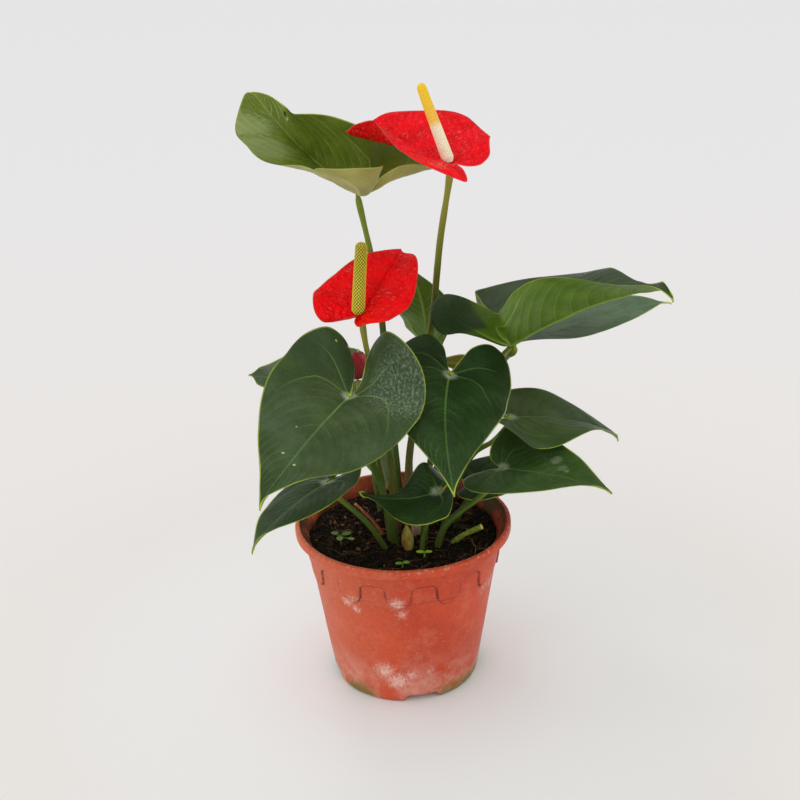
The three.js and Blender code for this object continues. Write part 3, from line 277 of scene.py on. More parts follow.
def evenly(points, count):
    """The same curve as a number of evenly spaced points."""
    lengths = lengths_along(points)
    even = np.linspace(0, lengths[-1], count)
    return np.stack([np.interp(even, lengths, points[:, axis]) for axis in range(3)], axis=1)


def path_through(points, spacing):
    """Evenly spaced points on a smooth space curve through the given ones."""
    points = np.asarray(points, float)
    padded = np.vstack([2 * points[0] - points[1], points, 2 * points[-1] - points[-2]])
    dense = []
    for k in range(len(points) - 1):
        p0, p1, p2, p3 = padded[k:k + 4]
        d0, d1, d2 = (np.sqrt(np.linalg.norm(b - a)) for a, b in ((p0, p1), (p1, p2), (p2, p3)))
        start = ((p1 - p0) / d0 - (p2 - p0) / (d0 + d1) + (p2 - p1) / d1) * d1
        end = ((p2 - p1) / d1 - (p3 - p1) / (d1 + d2) + (p3 - p2) / d2) * d1
        u = np.linspace(0, 1, 60, endpoint=False)[:, None]
        dense.append(p1 + start * u + (3 * (p2 - p1) - 2 * start - end) * u ** 2
                     + (2 * (p1 - p2) + start + end) * u ** 3)
    dense = np.vstack(dense + [points[-1:]])
    return evenly(dense, max(int(lengths_along(dense)[-1] / spacing), 4) + 1)


class Waves:
    """Smooth seeded noise: a sum of plane waves of mixed directions and lengths."""

    def __init__(self, seed, length, count=14):
        rng = np.random.default_rng(seed)
        self.waves = rng.normal(size=(count, 3)) * (2 * math.pi / length) * 0.6
        self.phases = rng.uniform(0, 2 * math.pi, count)

    def __call__(self, points):
        return np.sin(points @ self.waves.T + self.phases).sum(-1) / math.sqrt(len(self.phases) / 2) / 2


# ---------------------------------------------------------------- meshes
def add_piece(name, points, faces, materials, nodes, attributes, face_looks=None):
    """A piece of the plant from points in millimetres. It rides on the root body."""
    name = "fine_" + name
    mesh = bpy.data.meshes.new(name)
    mesh.from_pydata((np.asarray(points) * MM).tolist(), [], faces)
    for key, values in attributes.items():
        kind, field = ("FLOAT_VECTOR", "vector") if values.ndim == 2 else ("FLOAT", "value")
        mesh.attributes.new(key, kind, "POINT").data.foreach_set(field, values.ravel())
    for material in materials:
        mesh.materials.append(material)
    if face_looks is not None:
        mesh.polygons.foreach_set("material_index", face_looks)
    mesh.polygons.foreach_set("use_smooth", [True] * len(mesh.polygons))
    mesh.update()
    piece = bpy.data.objects.new(name, mesh)
    bpy.context.scene.collection.objects.link(piece)
    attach(piece, "root")
    if nodes:
        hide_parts(*nodes)


def vertex_normals(points, quads):
    a, b, c, d = (points[quads[:, k]] for k in range(4))
    face_normals = np.cross(c - a, d - b)
    normals = np.zeros_like(points)
    for k in range(4):
        np.add.at(normals, quads[:, k], face_normals)
    length = np.linalg.norm(normals, axis=1, keepdims=True)
    return normals / np.where(length > 0, length, 1)


def faces_of(quads):
    """Quads without repeated corners, and without those that have collapsed to a line."""
    faces = [tuple(dict.fromkeys(quad)) for quad in quads.tolist()]
    return [face for face in faces if len(face) > 2]


def grid_quads(rows, columns, first=0, closed=False):
    """Quads over a grid of points, row after row; closed joins the last column to the first."""
    width = columns if closed else columns + 1
    i, j = np.meshgrid(np.arange(rows), np.arange(columns), indexing="ij")
    right = (j + 1) % width
    quads = np.stack([i * width + j, i * width + right, (i + 1) * width + right, (i + 1) * width + j], -1)
    return quads.reshape(-1, 4) + first


# ---------------------------------------------------------------- blades
class Blade:
    """The curved surface of a leaf or spathe: half outlines swept from a bent midrib."""

    def __init__(self, spec, outline):
        self.spec, self.outline = spec, outline
        self.arch, self.hook, self.sweep, self.lift = (
            math.radians(spec[key]) for key in ("arch", "hook", "sweep", "lift"))
        middles = (np.arange(MIDRIB_STEPS) + 0.5) / MIDRIB_STEPS
        walk = self.heading(self.pitch_at(middles), self.yaw_at(middles)) / MIDRIB_STEPS
        self.midrib = np.vstack([np.zeros(3), np.cumsum(walk, axis=0)])
        chord = np.linalg.norm(self.midrib[-1])
        along = self.midrib[-1] / chord
        across = unit(np.cross((0, 0, 1), along))
        self.local = np.stack([along, across, np.cross(along, across)])
        self.junction = np.array(spec["junction"], float)
        span = np.array(spec["tip"], float) - self.junction
        self.length = np.linalg.norm(span) / chord
        ahead = unit(span)
        level = unit(np.cross((0, 0, 1), ahead))
        upright = np.cross(ahead, level)
        roll = math.radians(spec["roll"])
        self.world = np.stack([ahead, level * math.cos(roll) + upright * math.sin(roll),
                               upright * math.cos(roll) - level * math.sin(roll)])
        base = np.array([-math.sin(self.pitch_at(0)), 0, math.cos(self.pitch_at(0))])
        self.normal = (self.local @ base) @ self.world
        self.ahead = (self.local @ self.heading(self.pitch_at(0), self.yaw_at(0))) @ self.world

    def heading(self, pitch, yaw):
        pitch, yaw = np.broadcast_arrays(pitch, yaw)
        return np.stack([np.cos(pitch) * np.cos(yaw), np.cos(pitch) * np.sin(yaw), np.sin(pitch)], -1)

    def pitch_at(self, s):
        bend = np.clip((s - HOOK_START) / (1 - HOOK_START), 0, 1) ** 2
        return -self.arch * (s - 0.5) - self.hook * bend

    def yaw_at(self, s):
        return self.sweep * (s - 0.5)

    def fold_at(self, x, folds):
        """How steeply a half rises from the midrib, from the lobes to the tip."""
        places = (-self.spec["lobe"], *FOLD_PLACES)
        fold = np.full_like(x, folds[0], dtype=float)
        for k in range(3):
            share = (x - places[k]) / (places[k + 1] - places[k])
            fold += (folds[k + 1] - folds[k]) * smoothstep(share)
        return np.radians(fold)

    def curl_at(self, x, half):
        """The lobes may be curled more or less than the rest of their half."""
        rest = self.spec["curl" + half]
        lobes = self.spec.get("lobeCurl" + half, rest)
        share = smoothstep((x + self.spec["lobe"]) / (LOBE_CURL_END + self.spec["lobe"]))
        return np.radians(lobes + (rest - lobes) * share)

    def bow_at(self, t, half):
        """How far the margin is drawn aside and up, in millimetres."""
        bows = self.spec.get("bow" + half)
        if bows is None:
            return np.zeros(t.shape + (3,))
        bow = curve_through([(0, 0), *bows, (0, 0)], t)
        return np.stack([bow[..., 0], 0 * t, bow[..., 1]], -1)

    def flat(self, t, w):
        """Where a point lies on the flattened blade, as shares of the midrib's length."""
        spec = self.spec
        edge = curve_through(self.outline, t)
        edge_x = np.where(edge[..., 0] < 0, edge[..., 0] * spec["lobe"], edge[..., 0])
        edge_y = edge[..., 1] * spec["width"] * 0.5 + spec["spread"] * np.maximum(-edge_x, 0)
        rib = np.clip((edge_x - VEIN_START) / (1 - VEIN_START), 0, 1) ** VEIN_CROWDING
        return rib + (edge_x - rib) * w, edge_y * w

    def points(self, t, w, side):
        """Places in millimetres: t runs round half the outline, w from the midrib to the margin."""
        spec = self.spec
        half = "Left" if side > 0 else "Right"
        x, y = self.flat(t, w)
        phase = math.radians(spec["phase"] + (0 if side > 0 else OTHER_WAVE))
        wave = (spec["wave"] * w * w * np.sin(2 * math.pi * WAVES * t + phase)
                * np.clip(8 * (1 - t), 0, 1) * np.clip(6 * t, 0, 1))
        inside = np.clip(x, 0, 1)
        behind = x < 0
        yaw = self.yaw_at(inside)
        lifted = self.lift * x / spec["lobe"]
        pitch = np.where(behind, self.pitch_at(0) + lifted, self.pitch_at(inside))
        back = self.heading(self.pitch_at(0) + 0.5 * lifted, yaw) * x[..., None]
        cell = np.minimum(np.floor(inside * MIDRIB_STEPS).astype(int), MIDRIB_STEPS - 1)
        share = (inside * MIDRIB_STEPS - cell)[..., None]
        front = self.midrib[cell] * (1 - share) + self.midrib[cell + 1] * share
        place = np.where(behind[..., None], back, front)
        normal = np.stack([-np.sin(pitch) * np.cos(yaw), -np.sin(pitch) * np.sin(yaw), np.cos(pitch)], -1)
        sideways = np.cross(normal, self.heading(pitch, yaw))
        fold = self.fold_at(x, spec["fold" + half])
        bend = self.curl_at(x, half) * y / (spec["width"] * 0.5)
        bend = np.where(np.abs(bend) < 1e-5, 1e-5, bend)
        reach = y / bend * (np.sin(fold + bend) - np.sin(fold)) - wave * np.sin(fold + bend)
        rise = -y / bend * (np.cos(fold + bend) - np.cos(fold)) + wave * np.cos(fold + bend)
        place = place + sideways * (reach * side)[..., None] + normal * rise[..., None]
        points = self.junction + (place @ self.local.T * self.length) @ self.world
        return points + self.bow_at(t, half) * (w * w)[..., None]


def half_fields(blade, t_line, w_line, side):
    """Points of half a blade, and their distances in millimetres from its veins and margin."""
    t, w = np.meshgrid(t_line, w_line, indexing="ij")
    x, y = blade.flat(t, w)
    points = blade.points(t, w, side)
    per_t = np.gradient(points, t_line, axis=0)
    per_w = np.gradient(points, w_line, axis=1)
    area = np.linalg.norm(np.cross(per_t, per_w), axis=-1)

    def away(along, drift):
        """From a step along the outline to millimetres across a vein that drifts forward."""
        run = np.linalg.norm(per_w + (2 * drift * w)[..., None] * per_t, axis=-1)
        return along * area / np.maximum(run, 1e-3)

    basal = [away(t - (start + drift * w ** 2), drift) for start, drift in BASAL_VEINS]
    phase = (t - LATERAL_DRIFT * w ** 2 - LATERAL_FIRST) / LATERAL_PITCH
    fade = smoothstep((t - 0.42) / 0.1) * smoothstep((1 - t) / 0.1)
    return dict(
        points=points,
        flat=np.stack([x * blade.length, side * y * blade.length, 0 * x], -1),
        basal=np.stack(basal, -1),
        lateral=np.stack([phase, away(LATERAL_PITCH, LATERAL_DRIFT), fade], -1),
        edge=(1 - w) * area / np.maximum(np.linalg.norm(per_t, axis=-1), 1e-3),
        w=w, near=np.hypot(x, y) * blade.length)


def puckers(fields):
    """Rounded swellings between the net of veins of a spathe, higher away from the midrib."""
    flat = fields["flat"]
    cells = Waves(31, 7.5, 9)(flat) + 0.6 * Waves(32, 4.5, 9)(flat)
    return np.abs(cells) * np.clip(fields["edge"] / 3, 0, 1) * smoothstep(np.abs(flat[:, 1]) / 7)


def sheet_relief(fields, length, style):
    """How far the sheet rises from its smooth surface, and how far its ribs stand out below."""
    w, near = fields["w"], fields["near"]
    rib = np.abs(fields["flat"][:, 1])
    ahead = np.clip(fields["flat"][:, 0] / length, 0, 1)
    phase, spacing, fade = fields["lateral"].T
    pillow = np.cos(2 * math.pi * phase) * np.minimum(spacing, 8) * fade * (1 - w ** 4) * smoothstep(rib / 4)
    valley = np.exp(-(rib / style["valley"]) ** 2) * (1 - 0.75 * ahead)
    ridge = 1.1 * np.exp(-rib ** 2) * (1 - 0.8 * ahead)
    reach = np.clip(near / 6, 0, 1) * (1 - w ** 3)
    for distance in fields["basal"].T:
        side_valley = style["basal"] * np.exp(-(distance / style["valley"]) ** 2)
        valley = np.maximum(valley, side_valley * reach)
        ridge = np.maximum(ridge, 0.6 * np.exp(-(distance / 0.8) ** 2) * (1 - w))
    points = fields["points"]
    lumps = Waves(style["seed"], 16)(points) * 0.35 + Waves(style["seed"] + 1, 7)(points) * 0.1
    relief = -style["pillow"] * pillow - 0.55 * valley + style["lumps"] * lumps * np.clip(near / 12, 0, 1)
    if "pucker" in style:
        relief += style["pucker"] * puckers(fields) * np.clip(near / 8, 0, 1)
    return relief * np.clip((1 - w) * 12 + 0.25, 0, 1), ridge


def blade_piece(name, spec, outline, looks, style, columns=170, rows=40):
    """A leaf or spathe as one thin closed body with a relief of veins. Gives its surface."""
    blade = Blade(spec, outline)
    t_line = np.linspace(0, 1, columns + 1)
    w_line = np.linspace(0, 1, rows + 1) ** DENSE_RIB
    halves = [half_fields(blade, t_line, w_line, side) for side in (1, -1)]
    fields = {key: np.concatenate([half[key].reshape(-1, *half[key].shape[2:]) for half in halves])
              for key in halves[0]}
    left = grid_quads(columns, rows)[:, ::-1]
    right = grid_quads(columns, rows, (columns + 1) * (rows + 1))
    # The two halves share the points of the midrib.
    _, keep, index = np.unique(np.round(fields["points"], 4), axis=0, return_index=True,
                               return_inverse=True)
    fields = {key: values[keep] for key, values in fields.items()}
    quads = index.ravel()[np.concatenate([left, right])]
    normals = vertex_normals(fields["points"], quads)
    relief, ridge = sheet_relief(fields, blade.length, style)
    points = fields["points"] + normals * relief[:, None]
    half = style["thickness"] / 2 * (1 - fields["w"] ** 8) * np.clip(fields["near"], 0, 1)
    upper = points + normals * half[:, None]
    under = points - normals * (half + ridge * (half > 0) * style["rib"])[:, None]
    # Both sides of the sheet meet at the margin, where it has no thickness.
    apart = half >= 1e-6
    under_index = np.arange(len(points))
    under_index[apart] = len(points) + np.arange(apart.sum())
    top_faces = faces_of(quads)
    under_faces = faces_of(under_index[quads][:, ::-1])
    looks_of_faces = [0] * len(top_faces) + [1] * len(under_faces)
    attributes = {key: np.concatenate([fields[key], fields[key][apart]])
                  for key in ("flat", "basal", "lateral", "edge")}
    add_piece(name, np.vstack([upper, under[apart]]), top_faces + under_faces, looks,
              [name], attributes, looks_of_faces)
    return blade


# ---------------------------------------------------------------- tubes
def tube_mesh(path, radii, sides, relief=1):
    """A closed tube: its points, faces and attributes. The relief multiplies its radius."""
    tangents = unit(np.gradient(path, axis=0))
    normal = unit(np.cross(tangents[0], (0.3, 1, 0.1)))
    normals = []
    for tangent in tangents:
        normal = unit(normal - tangent * np.dot(normal, tangent))
        normals.append(normal)
    normals = np.array(normals)
    binormals = np.cross(tangents, normals)
    angle = angles_round(sides)
    share = np.linspace(0, 1, len(path))
    if callable(relief):
        relief = relief(share[:, None], angle[None, :])
    radius = np.asarray(radii)[:, None] * relief * np.ones((1, sides))
    out = normals[:, None] * np.cos(angle)[None, :, None] + binormals[:, None] * np.sin(angle)[None, :, None]
    points = (path[:, None] + out * radius[..., None]).reshape(-1, 3)
    faces = grid_quads(len(path) - 1, sides, closed=True)[:, ::-1].tolist()
    last = (len(path) - 1) * sides
    faces += [list(range(sides)), list(range(last + sides - 1, last - 1, -1))]
    turn = np.tile(angle, len(path))
    along = np.repeat(lengths_along(path), sides)
    attributes = {"turn": np.stack([np.cos(turn), np.sin(turn), along], -1),
                  "share": np.repeat(share, sides)}
    return points, faces, attributes


def ripples(*waves):
    """A tube's relief from waves: the size of each, its waves round the tube and along it."""
    def relief(share, angle):
        return 1 + sum(size * np.sin(around * angle + along * share) for size, around, along in waves)
    return relief


# ---------------------------------------------------------------- materials
def connect(tree, socket, value):
    """Link a field to a socket, or set a constant on the socket itself."""
    if isinstance(value, Field):
        tree.links.new(value.socket, socket)
    elif socket.type == "RGBA":
        socket.default_value = (*value, 1)
    else:
        socket.default_value = value


def add_node(tree, kind, output, inputs, **settings):
    """A shader node with its settings and inputs. Gives one of its outputs as a field."""
    node = tree.nodes.new("ShaderNode" + kind)
    for key, value in settings.items():
        setattr(node, key, value)
    for key, value in inputs.items():
        connect(tree, node.inputs[key], value)
    return Field(tree, node.outputs[output])


class Field:
    """A number, vector or colour that varies over a surface. What is done with it makes nodes."""

    def __init__(self, tree, socket):
        self.tree, self.socket = tree, socket

    def math(self, operation, other=0.0):
        return add_node(self.tree, "Math", 0, {0: self, 1: other}, operation=operation)

    def __add__(self, other):
        return self.math("ADD", other)

    def __sub__(self, other):
        return self.math("SUBTRACT", other)

    def __mul__(self, other):
        return self.math("MULTIPLY", other)

    def __abs__(self):
        return self.math("ABSOLUTE")

    def over(self, other):
        """The higher of the two."""
        return self.math("MAXIMUM", other)

    def off_line(self):
        """0 halfway between whole numbers, and 0.5 at them."""
        return abs(self.math("FRACT") - 0.5)

    def distance(self, place):
        return add_node(self.tree, "VectorMath", "Value", {0: self, 1: place}, operation="DISTANCE")

    def split(self):
        x = add_node(self.tree, "SeparateXYZ", 0, {0: self})
        return [x] + [Field(self.tree, x.socket.node.outputs[k]) for k in (1, 2)]

    def fall(self, start, end):
        """0 at start, 1 at end, smooth between."""
        inputs = {"Value": self, "From Min": min(start, end), "From Max": max(start, end),
                  "To Min": float(start > end), "To Max": float(start < end)}
        return add_node(self.tree, "MapRange", "Result", inputs, interpolation_type="SMOOTHSTEP")

    def noise(self, scale, detail=3.0, roughness=0.5):
        inputs = {"Vector": self, "Scale": scale, "Detail": detail, "Roughness": roughness}
        return add_node(self.tree, "TexNoise", "Fac", inputs)

    def cells(self, scale):
        """The distance from the edges of a net of cells."""
        inputs = {"Vector": self, "Scale": scale}
        return add_node(self.tree, "TexVoronoi", "Distance", inputs, feature="DISTANCE_TO_EDGE")


class Look:
    """A material. Its colour is laid on in turns, each over a share of the surface."""

    def __init__(self, name, colour):
        self.material = bpy.data.materials.new(name)
        self.material.use_nodes = True
        self.tree = self.material.node_tree
        self.tree.nodes.clear()
        self.shader = self.tree.nodes.new("ShaderNodeBsdfPrincipled")
        output = self.tree.nodes.new("ShaderNodeOutputMaterial")
        self.tree.links.new(self.shader.outputs[0], output.inputs[0])
        self.colour = colour

    def attribute(self, name, output="Fac"):
        return add_node(self.tree, "Attribute", output, {}, attribute_name=name)

    def vector(self, name):
        return self.attribute(name, "Vector")

    def place(self):
        return add_node(self.tree, "NewGeometry", "Position", {})

    def join(self, x, y, z):
        return add_node(self.tree, "CombineXYZ", 0, {0: x, 1: y, 2: z})

    def mix(self, share, a, b):
        return add_node(self.tree, "Mix", 2, {0: share, 6: a, 7: b}, data_type="RGBA")

    def lay(self, share, tint):
        self.colour = self.mix(share, self.colour, tint)

    def finish(self, roughness, relief=None, specular=0.5):
        """Set the shader. The relief is a height with the strength and distance of its bump."""
        inputs = {"Base Color": self.colour, "Roughness": roughness, "Specular IOR Level": specular}
        if relief is not None:
            bump = dict(zip(("Height", "Strength", "Distance"), relief))
            inputs["Normal"] = add_node(self.tree, "Bump", 0, bump)
        for key, value in inputs.items():
            connect(self.tree, self.shader.inputs[key], value)
        return self.material


def srgb(red, green, blue):
    """A colour given as 0-255 display values, in linear light."""
    def linear(value):
        value /= 255
        return value / 12.92 if value <= 0.04045 else ((value + 0.055) / 1.055) ** 2.4
    return linear(red), linear(green), linear(blue)


def times(colour, factor):
    return tuple(factor * channel for channel in colour)


class BladeLook(Look):
    """The look of one side of a leaf or spathe, with the fields that its mesh carries."""

    def __init__(self, name, colour):
        super().__init__(name, colour)
        self.flat = self.vector("flat")
        self.x, self.y, _ = self.flat.split()
        self.basal = self.vector("basal").split()
        self.phase, self.spacing, self.fade = self.vector("lateral").split()
        self.edge = self.attribute("edge")

    def lateral_veins(self, width):
        return (self.phase.off_line() * self.spacing).fall(width, 0.1) * self.fade

    def with_basal(self, lines, width, sharp, share=None):
        """The given lines and the basal veins."""
        for distance in self.basal:
            line = abs(distance).fall(width, sharp)
            lines = lines.over(line if share is None else line * share)
        return lines

    def near_spot(self, spot_x, spot_y, size, raggedness=1.6):
        """1 at a place on the blade, 0 beyond a ragged edge."""
        tatter = self.flat.noise(0.5, 4, 0.7) - 0.5
        away = self.flat.distance((spot_x, spot_y, 0)) + tatter * (size * raggedness)
        return away.fall(size, size * 0.5)


def leaf_top_look(name, dark, mid, vein, dust, dusty=None, spots=(), veining=0.22):
    """The glossy upper side: mottled green, pale veins, dust, marks, painted glare and a pale margin."""
    look = BladeLook(name, dark)
    flat, x, y, edge = look.flat, look.x, look.y, look.edge
    near = (x * x + y * y).math("SQRT")
    look.lay(flat.noise(0.05, 4).fall(0.35, 0.68), mid)
    look.lay(flat.noise(0.35, 5, 0.6).fall(0.45, 0.75) * 0.35, times(dark, 0.55))
    mottle = flat.noise(1.1, 6, 0.75)
    look.lay(mottle.fall(0.52, 0.7) * 0.45, times(mid, 1.9))
    look.lay(mottle.fall(0.46, 0.32) * 0.4, times(dark, 0.5))
    # Lateral veins: fine pale lines that run from the midrib to the margin.
    fine = (look.phase * 4.0).off_line().fall(0.24, 0.02) * look.fade
    net = flat.cells(0.55).fall(0.09, 0.0)
    look.lay(look.lateral_veins(0.5) * flat.noise(0.04, 2).fall(0.4, 0.65) * veining, vein)
    look.lay(fine * (veining * 0.3), vein)
    look.lay(net * 0.06, vein)
    # The midrib and the basal veins, paler towards the stalk.
    midrib = abs(y).fall(0.85, 0.25) * x.fall(-0.5, 0.5)
    lines = look.with_basal(midrib, 0.75, 0.2, edge.fall(3, 20) * 0.75)
    lines = lines * (near.fall(55, 8) * 0.5 + 0.36)
    look.lay(lines, vein)
    # The whitish star where the stalk joins, then dust, single marks and painted glare.
    look.lay(near.fall(6.5, 1.2) * flat.noise(0.9, 3, 0.7).fall(0.3, 0.6) * 0.8, srgb(205, 214, 190))
    if dusty is None:
        speck = flat.noise(0.8, 4, 0.75).fall(0.54, 0.68) * flat.noise(0.045, 2).fall(0.42, 0.62)
    else:
        speck = flat.noise(0.6, 5, 0.8).fall(0.46, 0.62) * look.near_spot(*dusty, raggedness=0.6)
    look.lay(speck * dust, srgb(176, 190, 176))
    for spot_x, spot_y, size, tint, share in spots:
        look.lay(look.near_spot(spot_x, spot_y, size) * share, tint)
    rim = edge.fall(0.9, 0.4) * flat.noise(0.03, 1).fall(0.25, 0.6) * near.fall(2.0, 6.0)
    look.lay(rim, LIT_RIM)
    rough = flat.noise(0.2, 4) * 0.18 + 0.28 + speck * 0.25
    grain = flat.noise(1.5, 3) * 0.6 + (net + fine) * -0.35
    return look.finish(rough, (grain - lines * 1.2, 0.35, 0.0003), 0.28)


def leaf_under_look(name, ground, deep, vein, rim, dark_lobe=None):
    """The paler, duller underside with its raised veins."""
    look = BladeLook(name, ground)
    flat, x, y, edge = look.flat, look.x, look.y, look.edge
    look.lay(flat.noise(0.06, 4).fall(0.35, 0.65), deep)
    lateral = look.lateral_veins(0.55)
    net = flat.cells(0.5).fall(0.1, 0.0)
    look.lay(lateral * 0.35, vein)
    look.lay(net * 0.16, vein)
    midrib = abs(y).fall(1.5, 0.5) * x.fall(-0.5, 0.5)
    lines = look.with_basal(midrib, 1.1, 0.3, edge.fall(3, 14))
    look.lay(lines * 0.75, vein)
    look.lay(edge.fall(0.9, 0.35), rim)
    if dark_lobe is not None:
        mottled = look.mix(flat.noise(0.9, 5, 0.7).fall(0.35, 0.65), dark_lobe, times(dark_lobe, 1.7))
        look.lay(x.fall(-3.5, -6.5) * y.fall(-26, -31), mottled)
    height = flat.noise(1.2, 3) + (net + lateral) * 0.5 + lines
    return look.finish(flat.noise(0.3, 3) * 0.15 + 0.43, (height, 0.3, 0.0003), 0.25)


def spathe_look(name, bright, deep, rim):
    """Waxy red with darker veins, and painted highlights on its puckers."""
    look = BladeLook(name, bright)
    flat, x, y, edge = look.flat, look.x, look.y, look.edge
    look.lay(flat.noise(0.07, 4).fall(0.35, 0.7), deep)
    net = flat.cells(0.28).fall(0.12, 0.0)
    lines = look.with_basal(abs(y).fall(0.8, 0.2), 0.7, 0.15)
    lines = lines.over(look.lateral_veins(0.6) * 0.6)
    look.lay(lines.over(net * 0.5) * 0.35, deep)
    # Painted highlights: short pale dashes in patches, where the puckers shine.
    painted_glint = look.join(x, y * 0.35, 0.0).noise(0.6, 4, 0.6).fall(0.56, 0.66)
    patches = flat.noise(0.07, 2).fall(0.42, 0.62) * edge.fall(0.5, 2.5)
    look.lay(painted_glint * patches * 0.5, srgb(255, 104, 112))
    look.lay(edge.fall(0.8, 0.3), rim)
    height = flat.noise(0.5, 3) - (lines + net * 0.8)
    return look.finish(flat.noise(0.3, 3) * 0.1 + 0.17, (height, 0.5, 0.0009), 0.2)


def stem_look(name, low, middle, high, streak):
    """Stem colour from foot to blade, with fine streaks along it."""
    look = Look(name, low)
    share = look.attribute("share")
    cosine, sine, along = look.vector("turn").split()
    look.lay(share.fall(0.04, 0.3), middle)
    look.lay(share.fall(0.5, 1.0), high)
    fibres = look.join(cosine * 4.0, sine * 4.0, along * 0.02).noise(2.2, 4, 0.6)
    look.lay(fibres.fall(0.45, 0.75) * 0.5, streak)
    blotch = look.join(cosine, sine, along * 0.12).noise(1.3, 3)
    look.lay(blotch.fall(0.55, 0.8) * 0.4, low)
    return look.finish(0.42, (fibres, 0.25, 0.0002), 0.3)


def spadix_look(name, foot, stops, hollows, centres):
    """Colour from base to tip, with painted shade in the hollows between the florets, and tinted centres."""
    look = Look(name, foot)
    share = look.attribute("share")
    floret = look.attribute("floret")
    for start, end, tint in stops:
        look.lay(share.fall(start, end), tint)
    # Painted shade: the hollows between the florets are darkened.
    tint, strength = hollows
    look.lay(floret.fall(0.42, 0.1) * strength, tint)
    tint, strength = centres
    look.lay(floret.fall(0.76, 0.96) * strength, tint)
    return look.finish(0.6)


def peat_look():
    look = Look("peat", srgb(6, 4, 3))
    grain = look.place().noise(900, 5, 0.65)
    look.lay(grain.fall(0.4, 0.62), srgb(15, 9, 6))
    look.lay(look.place().noise(2340, 3).fall(0.66, 0.74) * 0.7, srgb(58, 34, 20))
    return look.finish(0.92, (grain, 0.8, 0.0006))


def bits_look(name, tints, rough=0.9):
    """Bits whose own tone, from 0 to 1, picks a colour between the given ones."""
    look = Look(name, tints[0])
    tone = look.attribute("tone")
    last = len(tints) - 1
    for k in range(last):
        look.lay(tone.fall(k / last, (k + 1) / last), tints[k + 1])
    grain = look.place().noise(2200, 4, 0.6)
    look.lay(grain.fall(0.4, 0.7) * 0.4, tints[-1])
    return look.finish(rough, (grain, 0.6, 0.0003), 0.2)


def pot_look():
    """Satin red plastic: faded patches, a paler painted-lit left side, rubbed-in dust, scuffs, painted shade
    in the steps, algae at the foot.
    """
    look = Look("terracotta_plastic", srgb(208, 74, 38))
    place = look.place()
    x, y, z = place.split()
    look.lay(place.noise(22, 4).fall(0.35, 0.65), srgb(192, 66, 36))
    # Painted light: the left side of the pot is paler, as if lit from the left.
    look.lay(x.fall(0.01, -0.06), srgb(210, 98, 62))
    look.lay(place.noise(60, 6, 0.7).fall(0.47, 0.7) * 0.35, srgb(214, 124, 94))
    look.lay(place.noise(620, 5, 0.75).fall(0.55, 0.68) * 0.38, srgb(228, 140, 108))
    look.lay(place.noise(300, 6, 0.75).fall(0.5, 0.36) * 0.3, srgb(168, 56, 30))
    dust = z.fall(0.045, 0.0) * place.noise(50, 6, 0.72).fall(0.38, 0.66)
    look.lay(dust * 0.75, srgb(220, 168, 150))
    # White scuffs: ragged scrapes, dense only near the places that were rubbed.
    scrape = look.join(x * 1.6, y, z)
    zones = 0.0
    for *centre, size, share in SCUFFS:
        zones = (place.distance(times(centre, MM)).fall(size * MM, 0.0) * share).over(zones)
    marks = (scrape.noise(420, 10, 0.82) + zones * 0.24).fall(0.55, 0.85) * zones.fall(0.0, 0.15)
    rare = (scrape.noise(330, 6, 0.75) + place.noise(18, 2) * 0.3).fall(0.83, 0.88)
    look.lay(marks.over(rare) * 0.8, srgb(238, 208, 194))
    # Painted shade along the steps of the band, speckles along the rim, and moss at the foot.
    step_shade = look.attribute("step_shade") * place.noise(90, 4).fall(0.25, 0.6)
    look.lay(step_shade * 0.9, srgb(72, 20, 14))
    rim = z.fall(0.1065, 0.109) * place.noise(500, 5, 0.8).fall(0.55, 0.64)
    look.lay(rim * 0.75, srgb(226, 190, 160))
    low_edge = z.fall(0.014, 0.004) * abs(x).fall(0.014, 0.026)
    look.lay(low_edge * place.noise(75, 6, 0.75).fall(0.4, 0.52) * 0.85, srgb(112, 106, 34))
    # Inside, the wall is stained dark by the peat and green by algae above it.
    inner = look.attribute("inner_side")
    look.lay(inner * place.noise(70, 4, 0.65).fall(0.3, 0.6) * 0.65, srgb(60, 34, 18))
    look.lay(inner * place.noise(35, 4, 0.65).fall(0.44, 0.6) * 0.7, srgb(58, 66, 20))
    rough = place.noise(90, 4) * 0.25 + 0.36
    return look.finish(rough, (place.noise(700, 3) + marks, 0.15, 0.0003), 0.3)


# ---------------------------------------------------------------- the leaves
LIT_RIM = (0.42, 0.54, 0.05)


def tones_above(dark, mid, vein=(0.12, 0.24, 0.05)):
    return dict(dark=dark, mid=mid, vein=vein)


def tones_below(ground, deep, vein, rim):
    return dict(ground=ground, deep=deep, vein=vein, rim=rim)


def tones_of_stem(low, middle, high, streak):
    return dict(low=low, middle=middle, high=high, streak=streak)


# DARK, LOW, FAR, MIDDLE and TUCKED are one leaf green made darker or lighter, leaf by leaf, for how much
# light falls on each: painted light and shade.
DARK = tones_above((0.011, 0.036, 0.005), (0.021, 0.06, 0.01))
LOW = tones_above((0.022, 0.048, 0.012), (0.038, 0.072, 0.02))
FAR = tones_above((0.036, 0.078, 0.016), (0.058, 0.115, 0.028))
MIDDLE = tones_above((0.037, 0.074, 0.018), (0.062, 0.112, 0.03))
# A leaf green lightened partly by dust and partly by a painted sheen.
HAZE_AND_SHEEN = tones_above((0.034, 0.066, 0.018), (0.056, 0.097, 0.032), (0.15, 0.27, 0.07))
